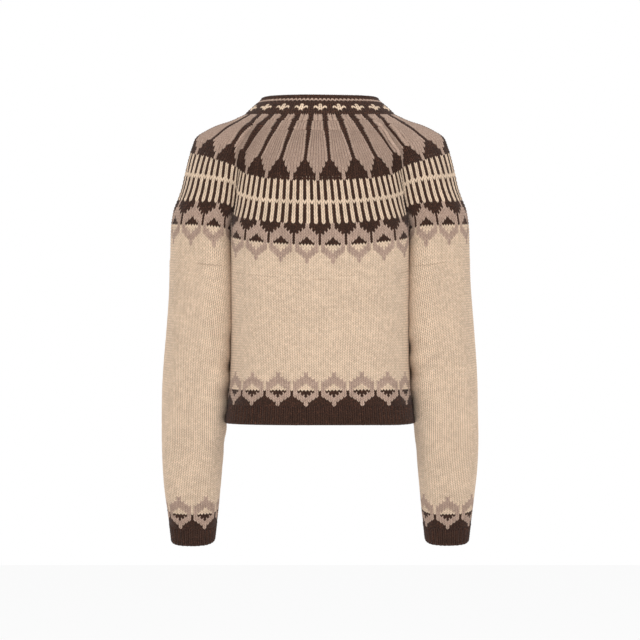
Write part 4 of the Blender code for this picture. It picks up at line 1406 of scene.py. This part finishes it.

# %% Painted shade in the creases and gutters, and the wool's surface
# Painted shade: how dark the creases between the legs and between the rows are painted, and how much lighter
# where the columns are gathered.
LEG_CREASE_SHADE, ROW_CREASE_SHADE = 0.46, 0.30
GATHERED_LEG, GATHERED_ROW = 0.20, 0.16
# Painted shade: the least darkness of the gutters, and how much more a stitch can take at random.
GUTTER_SHADE_LEAST, GUTTER_SHADE_VARIES = 0.12, 0.50
GATHER_ENDS, GATHER_RISE = 0.115, 16.0
SHADE_VARIES, CLOUDS_VARY, FIBRES_VARY = 0.14, 0.16, 0.22

leg = (column * (2 * np.pi)).sine().size()
across_row = (row * np.pi).sine().size()
placed = wool.add("ShaderNodeSeparateXYZ", Vector=wool.place())
near_neck = ((wool.signal(placed.outputs["Z"]) + GATHER_ENDS) * GATHER_RISE).limit()
gathered = (1.0 - (yarn - 1.0).size()).limit() * near_neck
# Painted shade: dark gutters between the gathered taupe columns near the neck, darker in some stitches than
# others.
gutter_shade = (1.0 - (column * np.pi).sine().size()) * gathered * (GUTTER_SHADE_LEAST + shade * GUTTER_SHADE_VARIES)
# Painted shade: the colour is darkened in the creases between the legs of each V and between the rows.
crease_shade = (1.0 - leg) * (LEG_CREASE_SHADE - gathered * GATHERED_LEG)
crease_shade = crease_shade + (1.0 - across_row) * (ROW_CREASE_SHADE - gathered * GATHERED_ROW) + gutter_shade
# The colour's multiplier: 1 less the painted shade, plus the yarn's real unevenness per stitch, in clouds
# and in fibres.
painted_shade_and_tone = 1.0 - crease_shade + (shade - 0.5) * SHADE_VARIES
painted_shade_and_tone = painted_shade_and_tone + (clouds - 0.5) * CLOUDS_VARY + (fibres - 0.5) * FIBRES_VARY
shade_and_tone_rgb = wool.add("ShaderNodeCombineXYZ", X=painted_shade_and_tone, Y=painted_shade_and_tone, Z=painted_shade_and_tone)
shaded_dye = wool.add("ShaderNodeVectorMath", {"operation": "MULTIPLY"}, _0=dyed, _1=shade_and_tone_rgb.outputs[0])
wool.feed(wool.shader.inputs["Base Color"], shaded_dye.outputs["Vector"])

ply = ((row * 2.6 + (column.part() - 0.5).size() * 5.2) * (2 * np.pi)).sine()
wool.bump(fibres * 0.6 + ply * 0.35 * leg + clouds * 0.2, 0.55, 0.0006)
wool.feed(wool.shader.inputs["Roughness"], 0.86 + (fibres - 0.5) * 0.2)
print("wool:", len(wool.tree.nodes), "nodes")

# %% [markdown]
# ### Horn and thread
#
# Horn is dark, streaked and polished. Its streaks run one way through the whole button.

# %% Horn and thread
horn = Finish("horn", Metallic=0.0, Coat_Weight=0.3, Coat_Roughness=0.12)
GRAIN = {"Scale": (160.0, 160.0, 900.0), "Rotation": (0.0, 0.5, 0.0)}
grain = horn.add("ShaderNodeMapping", Vector=horn.place(), **GRAIN)
streaks = horn.noise(1.0, 4.0, 0.6, at=grain.outputs["Vector"])
cloud = horn.noise(180.0, 2.0)
streaked = horn.mix(((streaks - 0.35) * 2.2).limit(), (0.035, 0.018, 0.010), (0.30, 0.17, 0.085))
clouded = horn.mix(((cloud - 0.5) * 2.5).limit(), streaked, (0.42, 0.27, 0.15))
horn.feed(horn.shader.inputs["Base Color"], clouded)
horn.feed(horn.shader.inputs["Roughness"], 0.26 + streaks * 0.16)
horn.bump(streaks, 0.12, 0.0003)

thread = Finish("thread", Metallic=0.0, Sheen_Weight=0.2, Specular_IOR_Level=0.25)
twist = thread.noise(2600.0, 2.0, 0.6)
twisted = thread.mix(twist, (0.03, 0.017, 0.013), (0.11, 0.06, 0.045))
thread.feed(thread.shader.inputs["Base Color"], twisted)
thread.feed(thread.shader.inputs["Roughness"], 0.75 + twist * 0.2)
thread.bump(twist, 0.5, 0.0002)
print("horn:", len(horn.tree.nodes), "nodes, thread:", len(thread.tree.nodes), "nodes")

# %% [markdown]
# ## What each piece stands for
#
# Each knitted piece replaces the solid on whose place it was knitted, and rides with the garment. The yoke's
# five zones together stand for the yoke's five panels, because their edges lie elsewhere. Every piece is a
# sheet of cloth, and its flat size is that of its own grid of stitches, because a hand-knitted piece is made
# to its shape and not cut.

# %% Dress the solids
def dress(piece, finish, slot, *nodes):
    """Gives a piece its material and its body, and hides the solids that it stands for; slot is not used."""
    piece.data.materials.append(finish.material)
    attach(piece, "root")
    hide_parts(*nodes)


def declare(piece, held, *rests_on):
    """Prints how large a piece was knitted; held and rests_on are not used."""
    width, length, area = FLAT[piece.name]
    print(f"{piece.name}: {width * 100:.1f} x {length * 100:.1f} cm, {area * 1e4:.0f} square cm")


KNITTED = (
    (neckband, "dark_wool", "neckband", "draped", "yoke_petals_top"),
    (petals_top, "yoke_wool", "yoke", "draped", "yoke_petals_middle"),
    (petals_middle, "yoke_wool", "yoke", "draped", "yoke_petals"),
    (petals, "yoke_wool", "yoke", "draped", "yoke_bars"),
    (bars, "yoke_wool", "yoke", "draped", "yoke_eyes"),
    (yoke_eyes, "yoke_wool", "yoke", "draped", "yoke_bars"),
    (body_back, "cream_wool", "body_back", "hung", "yoke_eyes"),
    (front_left, "cream_wool", "body_front_left", "hung", "yoke_eyes"),
    (front_right, "cream_wool", "body_front_right", "hung", "yoke_eyes"),
    (hem_back, "dark_wool", "hem_back", "hung", "back_knit"),
    (hem_left, "dark_wool", "hem_front_left", "hung", "front_left_knit"),
    (hem_right, "dark_wool", "hem_front_right", "hung", "front_right_knit"),
    (sleeve_left, "cream_wool", "sleeve_left", "hung", "yoke_eyes"),
    (sleeve_right, "cream_wool", "sleeve_right", "hung", "yoke_eyes"),
    (cuff_left, "dark_wool", "cuff_left", "hung", "sleeve_left_knit"),
    (cuff_right, "dark_wool", "cuff_right", "hung", "sleeve_right_knit"),
    (band_under, "dark_wool", "button_band_left", "hung", "front_left_knit"),
    (band_over, "dark_wool", "button_band_right", "hung", "front_right_knit"),
)
PANELS = ("back", "shoulder_left", "shoulder_right", "front_left", "front_right")
for piece, slot, node, held, rests_on in KNITTED:
    dress(piece, wool, slot, *([f"yoke_{place}" for place in PANELS] if node == "yoke" else [node]))
    declare(piece, held, rests_on)
for number, (button, tie) in enumerate(buttons, start=1):
    dress(button, horn, "button", f"button_{number}")
    dress(tie, thread, "button", f"button_{number}")

# %% [markdown]
# ## Studio
#
# The photograph is a cut-out on white under very even light. A white world gives both. A floor as white as
# the world disappears into it, and two large soft lamps, one from each side, give the stitches their shape.

# %% Floor and world
FLOOR, FLOOR_HALF = -1.60, 9

floor_mesh = bpy.data.meshes.new("floor")
floor_corners = [(x * FLOOR_HALF, y * FLOOR_HALF, FLOOR) for x, y in ((-1, -1), (1, -1), (1, 1), (-1, 1))]
floor_mesh.from_pydata(floor_corners, [], [(0, 1, 2, 3)])
floor = put_in_scene("floor", floor_mesh)
paper = Finish("paper", Base_Color=(0.95, 0.95, 0.95, 1.0), Roughness=0.9, Specular_IOR_Level=0.0)
floor_mesh.materials.append(paper.material)

world = bpy.data.worlds.new("studio")
bpy.context.scene.world = world
world.use_nodes = True
background = world.node_tree.nodes["Background"]
background.inputs["Color"].default_value = (1.0, 1.0, 1.0, 1.0)
background.inputs["Strength"].default_value = 1.0

# %% Lamps
def lamp(name, place, size, watts):
    """A square lamp that faces the middle of the garment."""
    light = bpy.data.lights.new(name, "AREA")
    light.size, light.energy = size, watts
    stand = put_in_scene(name, light)
    stand.location = place
    towards = np.array([0.0, 0.0, FRAME_MIDDLE]) - np.array(place)
    stand.rotation_euler = Vector(towards).to_track_quat("-Z", "Y").to_euler()
    print(f"{name} lamp: {watts:.0f} W, {size} m wide, {np.linalg.norm(towards):.2f} m away")


lamp("key", (1.0, 2.6, 1.3), 1.4, 31.0)
lamp("fill", (-1.8, 2.4, 0.9), 1.8, 23.0)
bpy.context.scene.view_settings.view_transform = "Standard"
